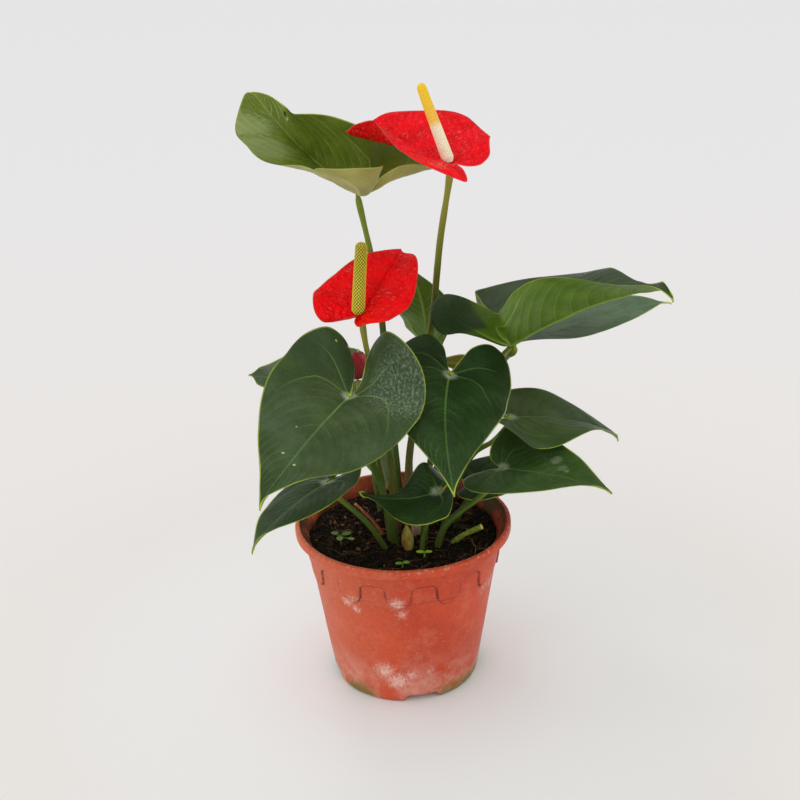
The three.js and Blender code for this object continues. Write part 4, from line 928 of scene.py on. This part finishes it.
# A leaf green greyed and lightened by a painted sheen.
SHEEN_GREYED = tones_above((0.08, 0.145, 0.07), (0.135, 0.195, 0.11), (0.2, 0.3, 0.13))
TUCKED = tones_above((0.03, 0.055, 0.018), (0.055, 0.088, 0.036))
BRIGHT = tones_above((0.085, 0.14, 0.006), (0.145, 0.2, 0.013), (0.3, 0.38, 0.08))
OLIVE = tones_above((0.05, 0.075, 0.003), (0.08, 0.105, 0.006), (0.2, 0.26, 0.04))
PALE = tones_above((0.2, 0.28, 0.12), (0.3, 0.38, 0.19), (0.46, 0.54, 0.3))
UNDER = tones_below((0.105, 0.2, 0.009), (0.075, 0.155, 0.005), (0.24, 0.36, 0.06), (0.36, 0.46, 0.05))
PALE_UNDER = tones_below((0.44, 0.45, 0.13), (0.33, 0.35, 0.09), (0.55, 0.56, 0.25), (0.5, 0.56, 0.12))
OLIVE_UNDER = tones_below((0.17, 0.15, 0.015), (0.11, 0.11, 0.01), (0.3, 0.3, 0.06), (0.36, 0.42, 0.06))
GREEN_STEM = tones_of_stem((0.06, 0.085, 0.012), (0.055, 0.105, 0.008), (0.2, 0.27, 0.014),
                           (0.26, 0.33, 0.07))
TAN_STEM = tones_of_stem((0.17, 0.08, 0.035), (0.15, 0.105, 0.03), (0.2, 0.24, 0.02), (0.3, 0.22, 0.09))
OLIVE_STEM = tones_of_stem((0.18, 0.085, 0.035), (0.085, 0.115, 0.006), (0.3, 0.3, 0.04), (0.3, 0.3, 0.05))

# Marks and painted glare on single leaves: place along and beside the midrib, size, colour and strength.
PALE_SPOT, GLARE, SCORCH = srgb(196, 206, 120), srgb(168, 180, 126), srgb(46, 38, 20)
CHAFED = srgb(122, 134, 104)
FRONT_MARKS = [(-30.8, -27.1, 1.0, PALE_SPOT, 0.9), (-36.5, -17.7, 0.9, PALE_SPOT, 0.9),
               (69.9, -7.1, 1.0, PALE_SPOT, 0.8), (46, -11.4, 0.7, PALE_SPOT, 0.8),
               (75.2, 2.9, 1.0, PALE_SPOT, 0.8)]
LOW_MARKS = [(32.1, 13.8, 4.5, CHAFED, 0.7), (40.2, 7.7, 3.5, CHAFED, 0.6), (45, 5.5, 2, CHAFED, 0.8)]
# On the top leaf the glare spots are painted highlights; the scorch is a real mark.
TOP_MARKS_AND_GLARE = [(58, 22, 17, GLARE, 0.3), (84, 16, 15, GLARE, 0.35), (82, -10, 2.4, SCORCH, 0.9),
             (77.5, -8.5, 1.8, GLARE, 0.9)]

LEAF_LOOKS = {  # tones above, tones below, dust, slot
    "leaf_front_left": (dict(HAZE_AND_SHEEN, spots=FRONT_MARKS, dusty=(-8, 30, 26)), UNDER, 0.3, "darkLeaf"),
    "leaf_front_centre": (DARK, UNDER, 0.14, "darkLeaf"),
    "leaf_small_cupped": (DARK, UNDER, 0.2, "darkLeaf"),
    "leaf_low_left": (LOW, UNDER, 0.2, "darkLeaf"),
    "leaf_left_behind": (SHEEN_GREYED, UNDER, 0.2, "darkLeaf"),
    "leaf_right_middle": (MIDDLE, UNDER, 0.25, "darkLeaf"),
    "leaf_right_low": (dict(FAR, spots=LOW_MARKS), UNDER, 0.35, "darkLeaf"),
    "leaf_right_back": (DARK, UNDER, 0.1, "darkLeaf"),
    "leaf_right_folded": (TUCKED, dict(UNDER, dark_lobe=(0.03, 0.06, 0.018)), 0.2, "brightLeaf"),
    "leaf_right_under": (SHEEN_GREYED, PALE_UNDER, 0.2, "darkLeaf"),
    "leaf_top": (dict(BRIGHT, spots=TOP_MARKS_AND_GLARE, veining=0.6), PALE_UNDER, 0.15, "brightLeaf"),
    "leaf_upright_back": (OLIVE, UNDER, 0.05, "oliveLeaf"),
    "leaf_young_back": (OLIVE, OLIVE_UNDER, 0.05, "oliveLeaf"),
    "leaf_low_back": (PALE, PALE_UNDER, 0.05, "oliveLeaf"),
}
LEAF_STYLE = dict(thickness=0.6, valley=2.4, basal=0.9, pillow=0.03, lumps=0.8, rib=1.0)


def stem_piece(name, spec, blade, look):
    """A petiole or peduncle, a little swollen under its blade and wider at its foot."""
    end = blade.junction - blade.normal * STEM_BELOW + blade.ahead * STEM_AHEAD
    foot = (*spec["base"], SOIL_TOP - STEM_DEPTH)
    under = end + 5 * unit(2 * unit(np.array(spec["via"][-1]) - end) - blade.normal)
    path = path_through([foot, *spec["via"], under, end], STEM_SPACING)
    t = np.linspace(0, 1, len(path))
    left = (1 - t) * (len(path) - 1) * STEM_SPACING
    flare = spec.get("flare", 1.15)
    radii = spec["radius"] * (1.12 - 0.24 * t + (flare - 1) * np.exp(-(t / 0.13) ** 2))
    radii *= 1 + 0.16 * np.exp(-((left - 9) / 6) ** 2) - 0.1 * np.exp(-((left - 24) / 8) ** 2)
    radii *= 0.6 + 0.4 * smoothstep(left / 5)
    points, faces, attributes = tube_mesh(path, radii, 18, ripples((0.02, 3, 5), (0.012, 0, 90)))
    add_piece(name, points, faces, [look], [name], attributes)


def build_leaves():
    green, tan = stem_look("petiole", **GREEN_STEM), stem_look("tan_petiole", **TAN_STEM)
    for number, (name, spec) in enumerate(LEAVES.items()):
        top, under, dust, slot = LEAF_LOOKS[name]
        looks = [leaf_top_look(name + "_top", dust=dust, **top), leaf_under_look(name + "_under", **under)]
        style = dict(LEAF_STYLE, seed=SEED + 10 * number)
        blade = blade_piece(name, spec, LEAF_OUTLINE, looks, style)
        look = tan if name in ("leaf_upright_back", "leaf_young_back") else green
        stem_piece(name.replace("leaf", "petiole"), spec, blade, look)


# ---------------------------------------------------------------- the flowers
SPATHE_STYLE = dict(thickness=0.7, valley=1.8, basal=0.7, pillow=0.05, lumps=0.6, rib=0.8, pucker=0.8)
CREAM, ORANGE, YELLOW = srgb(255, 250, 222), srgb(255, 208, 74), srgb(255, 214, 12)
FLOWER_LOOKS = {  # tones of the spathe, then name, foot, stops, hollows and centres of the spadix
    "upper_spathe": (dict(bright=(0.96, 0.0, 0.008), deep=(0.7, 0.0, 0.002), rim=(0.84, 0.08, 0.06)),
                     ("spadix_yellow", CREAM, [(0.42, 0.54, ORANGE), (0.54, 0.8, YELLOW)],
                      (srgb(226, 170, 80), 0.3), (srgb(255, 248, 214), 0.3)), "yellowSpadix"),
    "lower_spathe": (dict(bright=(0.98, 0.0, 0.004), deep=(0.7, 0.0, 0.001), rim=(0.76, 0.06, 0.04)),
                     ("spadix_green", srgb(222, 220, 52), [(0, 1, srgb(196, 184, 14))],
                      (srgb(84, 66, 18), 0.95), (srgb(236, 232, 120), 0.6)), "greenSpadix"),
}


def spadix_piece(name, shape, blade, look):
    """The spadix: crowded florets in spiral rows on a tapered finger."""
    start = blade.junction + blade.normal * 0.4
    end = np.array(shape["tip"], float)
    middle = start * 0.7 + end * 0.3 + blade.normal * 1.5
    u = np.linspace(0, 1, 400)[:, None]
    path = evenly(start * (1 - u) ** 2 + 2 * middle * u * (1 - u) + end * u ** 2, SPADIX_ROWS)
    t = np.linspace(0, 1, SPADIX_ROWS)
    rounded = np.sqrt(1 - np.clip((t - 0.93) / 0.0705, 0, 1) ** 2)
    radii = (shape["radius"] + (shape["tip_radius"] - shape["radius"]) * t) * rounded
    radii *= 0.45 + 0.55 * np.clip(t / 0.06, 0, 1) ** 0.6
    radii = np.maximum(radii, 0.05)
    around = shape["turns"] * angles_round(SPADIX_SIDES)[None, :] / 2
    along = shape["florets"] * math.pi * t[:, None]
    floret = np.abs(np.cos(around + along) * np.cos(around - along))
    points, faces, attributes = tube_mesh(path, radii, SPADIX_SIDES, 0.86 + 0.22 * floret ** 0.6)
    attributes["floret"] = floret.ravel()
    add_piece(name, points, faces, [look], [name], attributes)


def build_flowers(stem):
    for number, (name, spec) in enumerate(SPATHES.items()):
        reds, spadix, slot = FLOWER_LOOKS[name]
        looks = [spathe_look(name + "_front", **reds), spathe_look(name + "_back", **reds)]
        style = dict(SPATHE_STYLE, seed=SEED + 300 + 10 * number)
        blade = blade_piece(name, spec, SPATHE_OUTLINE, looks, style, 200, 64)
        stem_piece(name.replace("spathe", "peduncle"), spec, blade, stem)
        spadix_piece(name.replace("spathe", "spadix"), spec["spadix"], blade, spadix_look(*spadix))


def furled_bloom(stem):
    """A spathe still rolled round its spadix, whose green point shows above it."""
    foot, top = np.array(BLOOM["foot"]), np.array(BLOOM["top"])
    direction = unit(top - foot)
    spec = dict(base=BLOOM["base"], via=BLOOM["via"], radius=BLOOM["stem_radius"], flare=1.1)
    stem_end = SimpleNamespace(junction=foot, normal=direction, ahead=np.zeros(3))
    stem_piece("young_peduncle", spec, stem_end, stem)
    t = np.linspace(0, 1, 70)[:, None]
    angle = angles_round(BLOOM_SIDES)[None, :]
    radii = BLOOM["radius"] * (0.35 + 0.65 * np.sin(math.pi * (0.08 + 0.75 * t[:, 0])) ** 0.8)
    rolled = ((angle + 1.3 * t + 1.9) % (2 * math.pi)) / (2 * math.pi)
    creases = 0.02 * np.sin(9 * angle + 4 * np.sin(5 * t))
    points, faces, attributes = tube_mesh(foot + (top - foot) * t, radii, BLOOM_SIDES,
                                          0.93 + 0.16 * rolled ** 3 + creases)
    attributes["tone"] = np.clip(rolled ** 6 + 0.3 * t, 0, 1).ravel()
    look = bits_look("furled_red", [srgb(92, 4, 8), srgb(132, 8, 14), srgb(196, 84, 92)], 0.3)
    add_piece("young_spathe", points, faces, [look], ["young_spathe"], attributes)
    tip = np.linspace(0, BLOOM["green_tip"], 24)
    path = top + direction * (0.35 + tip[:, None])
    points, faces, attributes = tube_mesh(path, 1.1 * (1 - 0.75 * tip / tip[-1]), 24)
    attributes["tone"] = attributes["share"]
    look = bits_look("green_point", [srgb(120, 130, 40), srgb(190, 196, 70)], 0.5)
    add_piece("young_spathe_tip", points, faces, [look], ["young_spathe_tip"], attributes)


# ---------------------------------------------------------------- the pot
def body_radius(z):
    return BODY_BASE_RADIUS + (BODY_TOP_RADIUS - BODY_BASE_RADIUS) * z / BAND_BOTTOM


def angle_from_nearest(angle, count, offset):
    """The angle from the nearest of some features that are evenly spaced round the pot."""
    pitch = 2 * math.pi / count
    return (angle - math.radians(offset) + pitch / 2) % pitch - pitch / 2


def band_height(angle, z):
    """How far the pot's wall stands proud at an angle from the front, and the painted shade that marks its
    steps.
    """
    across = np.abs(angle_from_nearest(angle, WINDOW_COUNT, WINDOW_OFFSET)) * BODY_TOP_RADIUS
    half = BODY_TOP_RADIUS * math.sin(math.radians(WINDOW_HALF_ANGLE))
    side = half - 1.4 * np.clip((z - BAND_BOTTOM) / (WINDOW_TOP - BAND_BOTTOM), 0, 1)
    corner = np.clip(across - (side - 4), 0, None) ** 2 / 6
    into_window = np.minimum(side - across, WINDOW_TOP - corner - z)
    half_pitch = BODY_TOP_RADIUS * math.pi / WINDOW_COUNT
    from_tab = (half_pitch - across) / (half_pitch - half)
    below_tab = BAND_BOTTOM - TAB_DROP + np.minimum(5 * from_tab ** 4, TAB_DROP + 2) - z
    outside = np.maximum(into_window, below_tab)
    band = smoothstep(-outside / STEP_WIDTH + 0.5)
    ledge = smoothstep((z - BAND_BOTTOM) / STEP_WIDTH + 0.5)
    proud = np.maximum(BAND_PROUD * band, BAND_PROUD / 3 * ledge)
    # Painted shade: a dark line along each step of the band and along the ledge below it.
    step_shade = (1.1 * np.exp(-((outside - 0.3) / 0.55) ** 2)
              + 0.5 * np.exp(-((z - BAND_BOTTOM + 0.3) / 0.4) ** 2))
    return proud, step_shade


def build_pot():
    outer = [(0, 0), (MIDDLE_RADIUS, 0), (MIDDLE_RADIUS + 2, BASE_RISE)]
    foot = [(6.5, BASE_RISE), (5, 0), (2.2, 0), (1, 0.4), (0.2, 1.4)]
    outer += [(BODY_BASE_RADIUS - inward, up) for inward, up in foot]
    wall_heights = np.concatenate([np.arange(2.6, 77, 1.6), np.arange(77.2, LIP_BOTTOM, 0.3)])
    wall = [(body_radius(z), z) for z in wall_heights]
    lip = [(RIM_RADIUS - inward, LIP_BOTTOM + up) for inward, up in LIP_PROFILE]
    inside = [(body_radius(LIP_BOTTOM) - WALL, LIP_BOTTOM - 1)]
    inside += [(body_radius(z) - WALL, z) for z in (100, 96, 90, 70, 40, 12, 8)]
    floor_top = BASE_RISE + WALL
    floor = [(body_radius(floor_top) - WALL - 2, floor_top), (MIDDLE_RADIUS + 2, floor_top),
             (MIDDLE_RADIUS, WALL), (0, WALL)]
    profile = np.array(outer + wall + lip + inside + floor)
    wall_last = len(outer) + len(wall)
    wall_rows = slice(len(outer), wall_last)
    angle = angles_round(POT_SIDES)
    radius = np.repeat(profile[:, :1], POT_SIDES, axis=1)
    height = np.repeat(profile[:, 1:], POT_SIDES, axis=1)
    step_shade = np.zeros_like(radius)
    proud, step_shade[wall_rows] = band_height(angle[None, :], height[wall_rows])
    radius[wall_rows] += proud
    inner_side = np.zeros_like(radius)
    inner_side[wall_last + 9:] = 1
    # Four shallow drainage notches through the foot.
    turn = angle_from_nearest(angle, NOTCH_COUNT, NOTCH_OFFSET)
    notch = smoothstep((NOTCH_WIDTH / 2 - np.abs(turn) * BODY_BASE_RADIUS) / 3.5)
    low = slice(4, wall_last)
    height[low] += notch[None, :] * NOTCH_HEIGHT * np.clip(1 - height[low] / 9, 0, 1)
    points = np.stack([radius * np.sin(angle), -radius * np.cos(angle), height], -1).reshape(-1, 3)
    wear = Waves(5, 30)(points)[:, None] * 0.12 * unit(points * (1, 1, 0) + (0, 0, 1e-6))
    points = points + wear * (points[:, 2:] > 2)
    faces = faces_of(grid_quads(len(profile) - 1, POT_SIDES, closed=True))
    attributes = {"step_shade": step_shade.ravel(), "inner_side": inner_side.ravel()}
    add_piece("pot", points, faces, [pot_look()], ["pot"], attributes)


# ---------------------------------------------------------------- the peat and what lies on it
def soil_height(x, y):
    return SOIL_TOP + SOIL_RELIEF * (0.5 * np.sin(0.19 * x + 1.1) * np.cos(0.16 * y)
                                     + 0.35 * np.sin(0.47 * x - 0.4 * y) + 0.25 * np.cos(0.83 * y + 0.6 * x))


def build_soil():
    rings = np.concatenate([[1e-3], np.linspace(1, body_radius(97) - WALL - SOIL_GAP, 90)])
    angle = angles_round(SOIL_SIDES)
    x, y = rings[:, None] * np.cos(angle), rings[:, None] * np.sin(angle)
    flat = np.stack([x, y, 0 * x], -1)
    rough = 0.7 * Waves(11, 5)(flat) + 0.5 * Waves(12, 2.6)(flat) + 0.3 * Waves(13, 1.5)(flat)
    z = soil_height(x, y) - 0.4 + 0.55 * rough
    layers = [np.stack([x, y, z], -1).reshape(-1, 3)]
    below = [(body_radius(height) - WALL - SOIL_GAP, height) for height in (96, 60, 20, 8.5)]
    for radius, height in below + [(SOIL_FOOT_RADIUS, SOIL_FOOT)]:
        layers.append(np.stack([radius * np.cos(angle), radius * np.sin(angle), 0 * angle + height], -1))
    rows = len(rings) + len(below) + 1
    faces = grid_quads(rows - 1, SOIL_SIDES, closed=True).tolist()
    faces.append(list(range((rows - 1) * SOIL_SIDES, rows * SOIL_SIDES)))
    faces.append(list(range(SOIL_SIDES - 1, -1, -1)))
    add_piece("soil", np.vstack(layers), faces, [peat_look()], ["soil"], {})


def lump(rng, size, place):
    """One small irregular crumb: its points and faces."""
    rings, sides = 4, 6
    points = [(0, 0, -1)]
    for ring in range(1, rings):
        tilt = math.pi * ring / rings
        out, up = math.sin(tilt), -math.cos(tilt)
        for side in range(sides):
            turn = 2 * math.pi * (side + 0.5 * (ring % 2)) / sides
            points.append((out * math.cos(turn), out * math.sin(turn), up))
    points.append((0, 0, 1))
    last = len(points) - 1
    faces = [(0, 1 + (side + 1) % sides, 1 + side) for side in range(sides)]
    faces += [tuple(face) for face in grid_quads(rings - 2, sides, 1, closed=True).tolist()]
    faces += [(last, last - sides + side, last - sides + (side + 1) % sides) for side in range(sides)]
    points = np.array(points) * rng.uniform(0.65, 1.25, (len(points), 1))
    points *= size * rng.uniform(0.6, 1.3, 3) * (1, 1, 0.75)
    spin = rng.uniform(0, 2 * math.pi)
    turn = np.array([[math.cos(spin), -math.sin(spin), 0], [math.sin(spin), math.cos(spin), 0], [0, 0, 1]])
    return points @ turn.T + place, faces


def on_peat(rng, widest, count):
    """Random places on the peat's surface."""
    angle = rng.uniform(0, 2 * math.pi, count)
    radius = widest * np.sqrt(rng.uniform(0, 1, count))
    return zip(radius * np.cos(angle), radius * np.sin(angle))


def add_bits(name, parts, look, nodes):
    """Several small bodies as one piece, with a tone for each point."""
    points, faces, tones = [], [], []
    first = 0
    for part_points, part_faces, tone in parts:
        points.append(part_points)
        faces += [tuple(corner + first for corner in face) for face in part_faces]
        tones.append(np.full(len(part_points), tone))
        first += len(part_points)
    add_piece(name, np.vstack(points), faces, [look], nodes, {"tone": np.concatenate(tones)})


def build_crumbs():
    rng = np.random.default_rng(SEED + 41)
    parts = []
    for x, y in on_peat(rng, CRUMB_REACH, CRUMB_COUNT):
        size = 0.45 + 1.5 * rng.uniform() ** 3
        place = np.array([x, y, soil_height(x, y) - 0.25 * size + rng.uniform(0, 0.5)])
        parts.append((*lump(rng, size, place), rng.uniform() ** 4.6))
    tints = [srgb(6, 4, 2), srgb(16, 9, 5), srgb(48, 24, 13), srgb(132, 92, 58)]
    add_bits("crumbs", parts, bits_look("crumbs", tints), [])


def build_fibres():
    """Root fibres and straws that lie in loose curls on the peat."""
    rng = np.random.default_rng(SEED + 42)
    parts = []
    for x, y in on_peat(rng, FIBRE_REACH - 4, FIBRE_COUNT):
        steps = int(rng.integers(6, 18))
        heading, bend = rng.uniform(0, 2 * math.pi), rng.normal(0, 0.16)
        place = np.array([x, y])
        path = []
        for step in range(steps):
            heading += bend + rng.normal(0, 0.16)
            place = place + 1.3 * np.array([math.cos(heading), math.sin(heading)])
            place *= min(1, FIBRE_REACH / np.hypot(*place))
            hump = 0.9 * math.sin(math.pi * step / (steps - 1)) * rng.uniform(0.4, 1)
            path.append((*place, soil_height(*place) + 0.35 + hump))
        thickness = rng.choice([0.13, 0.17, 0.24], p=[0.5, 0.35, 0.15])
        path = path_through(path, 0.9)
        points, faces, _ = tube_mesh(path, thickness * np.linspace(1, 0.5, len(path)), 5)
        parts.append((points, faces, rng.uniform() ** 1.5))
    tints = [srgb(28, 14, 8), srgb(58, 30, 17), srgb(104, 62, 38), srgb(186, 148, 98)]
    add_bits("fibres", parts, bits_look("fibres", tints, 0.7), [])


# ---------------------------------------------------------------- sheaths, stubs and seedlings
def worn_tube(name, ends, spacing, radii, relief, tones, tints, rough=0.75):
    """A sheath, stub or chip through some points, with ribs along it, uneven colour, and painted light and
    shade on its two sides.
    """
    path = path_through(ends, spacing)
    points, faces, attributes = tube_mesh(path, radii(np.linspace(0, 1, len(path))), 40, relief)
    wear = Waves(len(name) + 60, 3.2)(points) * 0.22 + Waves(len(name) + 70, 1.4)(points) * 0.14
    # The tone also shifts round the tube, one side lighter and the other darker: painted light and shade.
    attributes["tone"] = np.clip(tones(attributes["share"], attributes["turn"][:, 0]) + wear, 0, 1)
    add_piece(name, points, faces, [bits_look(name, tints, rough)], [name], attributes)


def build_sheath(name, foot, top, radius, slot, tints):
    def radii(t):
        return radius * (0.75 + 0.5 * np.sin(2.4 * t)) * (1 - 0.85 * t ** 3)

    def tones(share, side):
        return 0.55 - 0.35 * side + 0.2 * share

    foot = (*foot, SOIL_TOP - 3)
    ends = [foot, np.mean([foot, top], axis=0), top]
    ribs = ripples((0.035, 11, 2), (0.05, 2, 3), (0.03, 23, 0))
    worn_tube(name, ends, 0.35, radii, ribs, tones, tints)


def build_stub(name, foot, lean, end, radius, narrow, slot, tints):
    def radii(t):
        return radius * (1 + (narrow - 1) * t) * (1 + 0.06 * np.sin(9 * t))

    def tones(share, side):
        return 0.25 + 0.25 * share - 0.1 * side + 0.8 * smoothstep((share - 0.93) / 0.05)

    ends = [(*foot, SOIL_TOP - 3.5), lean, end]
    ribs = ripples((0.05, 5, 3), (0.03, 14, 0))
    worn_tube(name, ends, 0.4, radii, ribs, tones, tints, 0.6)


def build_bark():
    def radii(t):
        return BARK["radius"] * (0.6 + 0.4 * np.sin(math.pi * t))

    def relief(share, angle):
        ribs = 1 + 0.05 * np.sin(17 * angle + 6 * share)
        return (0.65 + 0.35 * np.cos(2 * angle + 1)) * ribs + 0.04 * np.sin(40 * share)

    def tones(share, side):
        return 0.4 - 0.3 * side

    start, end = ((*place, soil_height(*place) + 0.4) for place in (BARK["start"], BARK["end"]))
    ends = [start, np.mean([start, end], axis=0), end]
    worn_tube("bark_chip", ends, 0.3, radii, relief, tones, BARK["tints"], 0.9)


def leaflet(centre, turn, size):
    """A small cupped oval leaf with a crease along its middle: its points and faces."""
    rings, sides = 7, 28
    radius = np.linspace(0, 1, rings + 1)[:, None]
    angle = angles_round(sides)[None, :]
    x = radius * np.cos(angle) * size
    y = radius * np.sin(angle) * size * 0.8 * (1 + 0.06 * np.cos(3 * angle))
    cup = 0.12 * size * radius ** 2 + 0.06 * size * np.abs(np.sin(angle)) * radius
    half = 0.2 * np.sqrt(np.maximum(1 - radius ** 2, 0)) * np.ones_like(angle)
    shells = [np.stack([x, y, cup + rise - 0.1 * size], -1).reshape(-1, 3) for rise in (half, -half)]
    across = np.array([[math.cos(turn), math.sin(turn), 0], [-math.sin(turn), math.cos(turn), 0], [0, 0, 1]])
    points = np.vstack(shells) @ across + centre
    count = (rings + 1) * sides
    upper = grid_quads(rings, sides, closed=True)
    lower = grid_quads(rings, sides, count, closed=True)[:, ::-1]
    lower = np.where(lower >= count + rings * sides, lower - count, lower)
    return points, faces_of(np.vstack([upper, lower]))


def build_seedling(name, foot, height, leaves, tints):
    ground = soil_height(*foot)
    heights = (ground - 2.5, ground + height * 0.5, ground + height)
    rise = path_through([(*foot, z) for z in heights], 0.4)
    points, faces, _ = tube_mesh(rise, np.linspace(0.6, 0.5, 40)[:len(rise)], 10)
    parts = [(points, faces, 0.2)]
    for k, (direction, reach, size) in enumerate(leaves):
        turn = math.radians(direction)
        centre = np.array([*foot, ground + height]) + reach * np.array([math.cos(turn), math.sin(turn), 0])
        stalk = path_through([(*foot, ground + height * 0.8), centre - (0, 0, 0.2), centre], 0.4)
        points, faces, _ = tube_mesh(stalk, np.full(len(stalk), 0.4), 8)
        parts.append((points, faces, 0.4))
        parts.append((*leaflet(centre, turn, size), 0.5 + 0.12 * (k % 4)))
    add_bits(name, parts, bits_look(name, tints, 0.5), [name])


# ---------------------------------------------------------------- floor, light and camera
def add_floor():
    mesh = bpy.data.meshes.new("floor")
    corners = [(-FLOOR_HALF, -FLOOR_HALF), (FLOOR_HALF, -FLOOR_HALF), (FLOOR_HALF, FLOOR_HALF),
               (-FLOOR_HALF, FLOOR_HALF)]
    mesh.from_pydata([(x, y, 0) for x, y in corners], [], [(0, 1, 2, 3)])
    floor = bpy.data.objects.new("floor", mesh)
    bpy.context.scene.collection.objects.link(floor)
    look = Look("floor", srgb(230, 226, 222))
    x, y, _ = look.place().split()
    look.lay(y.fall(-0.45, 1.6), srgb(228, 227, 228))
    # Painted light: the floor is paler and cooler near the pot, which lifts the shade round its foot.
    look.lay((x * x + y * y).math("SQRT").fall(0.3, 0.06), srgb(240, 243, 243))
    mesh.materials.append(look.finish(0.9))


def add_sun(name, place, strength, spread, colour):
    """A wide soft light from one side, the same all over the floor."""
    light = bpy.data.lights.new(name, "SUN")
    light.energy = strength
    light.angle = math.radians(spread)
    light.color = colour
    lamp = bpy.data.objects.new(name, light)
    lamp.rotation_euler = (-Vector(place)).to_track_quat("-Z", "Y").to_euler()
    bpy.context.scene.collection.objects.link(lamp)


def add_world(strength, mirrored, colour):
    """Even white light from all round, weaker where a glossy surface mirrors it."""
    world = bpy.data.worlds.new("studio")
    world.use_nodes = True
    tree = world.node_tree
    background = tree.nodes["Background"]
    glossy = add_node(tree, "LightPath", "Is Glossy Ray", {})
    inputs = {"Value": glossy, "To Min": strength, "To Max": mirrored}
    connect(tree, background.inputs["Strength"], add_node(tree, "MapRange", "Result", inputs))
    connect(tree, background.inputs["Color"], colour)
    bpy.context.scene.world = world


def add_camera():
    down, roll = math.radians(CAMERA_DOWN), math.radians(CAMERA_ROLL)
    forward = Vector((0, math.cos(down), -math.sin(down)))
    level = Vector((1, 0, 0))
    above = level.cross(forward)
    right = math.cos(roll) * level + math.sin(roll) * above
    up = -math.sin(roll) * level + math.cos(roll) * above
    camera = bpy.data.cameras.new("camera")
    camera.sensor_width = 36
    camera.lens = camera.sensor_width * CAMERA_FOCAL / 800
    camera.clip_end = 50
    holder = bpy.data.objects.new("camera", camera)
    turn = Matrix((right, up, -forward)).transposed().to_4x4()
    holder.matrix_world = Matrix.Translation(CAMERA_PLACE) @ turn
    bpy.context.scene.collection.objects.link(holder)
    bpy.context.scene.camera = holder


build_leaves()
olive_stem = stem_look("peduncle", **OLIVE_STEM)
build_flowers(olive_stem)
build_pot()
build_soil()
build_crumbs()
build_fibres()
furled_bloom(olive_stem)
for sheath in SHEATHS:
    build_sheath(*sheath)
for stub in STUBS:
    build_stub(*stub)
build_bark()
for seedling in SEEDLINGS:
    build_seedling(*seedling)

add_floor()
add_camera()
add_sun("key", (-0.5, -0.5, 1.0), 0.3, 70, (1.0, 0.985, 0.965))
add_sun("glint", (-0.25, 0.55, 1.0), 0.14, 14, (1.0, 1.0, 1.0))
add_world(0.95, 0.24, (1.0, 1.0, 1.0))
bpy.context.scene.view_settings.view_transform = "Standard"

bpy.context.view_layer.update()
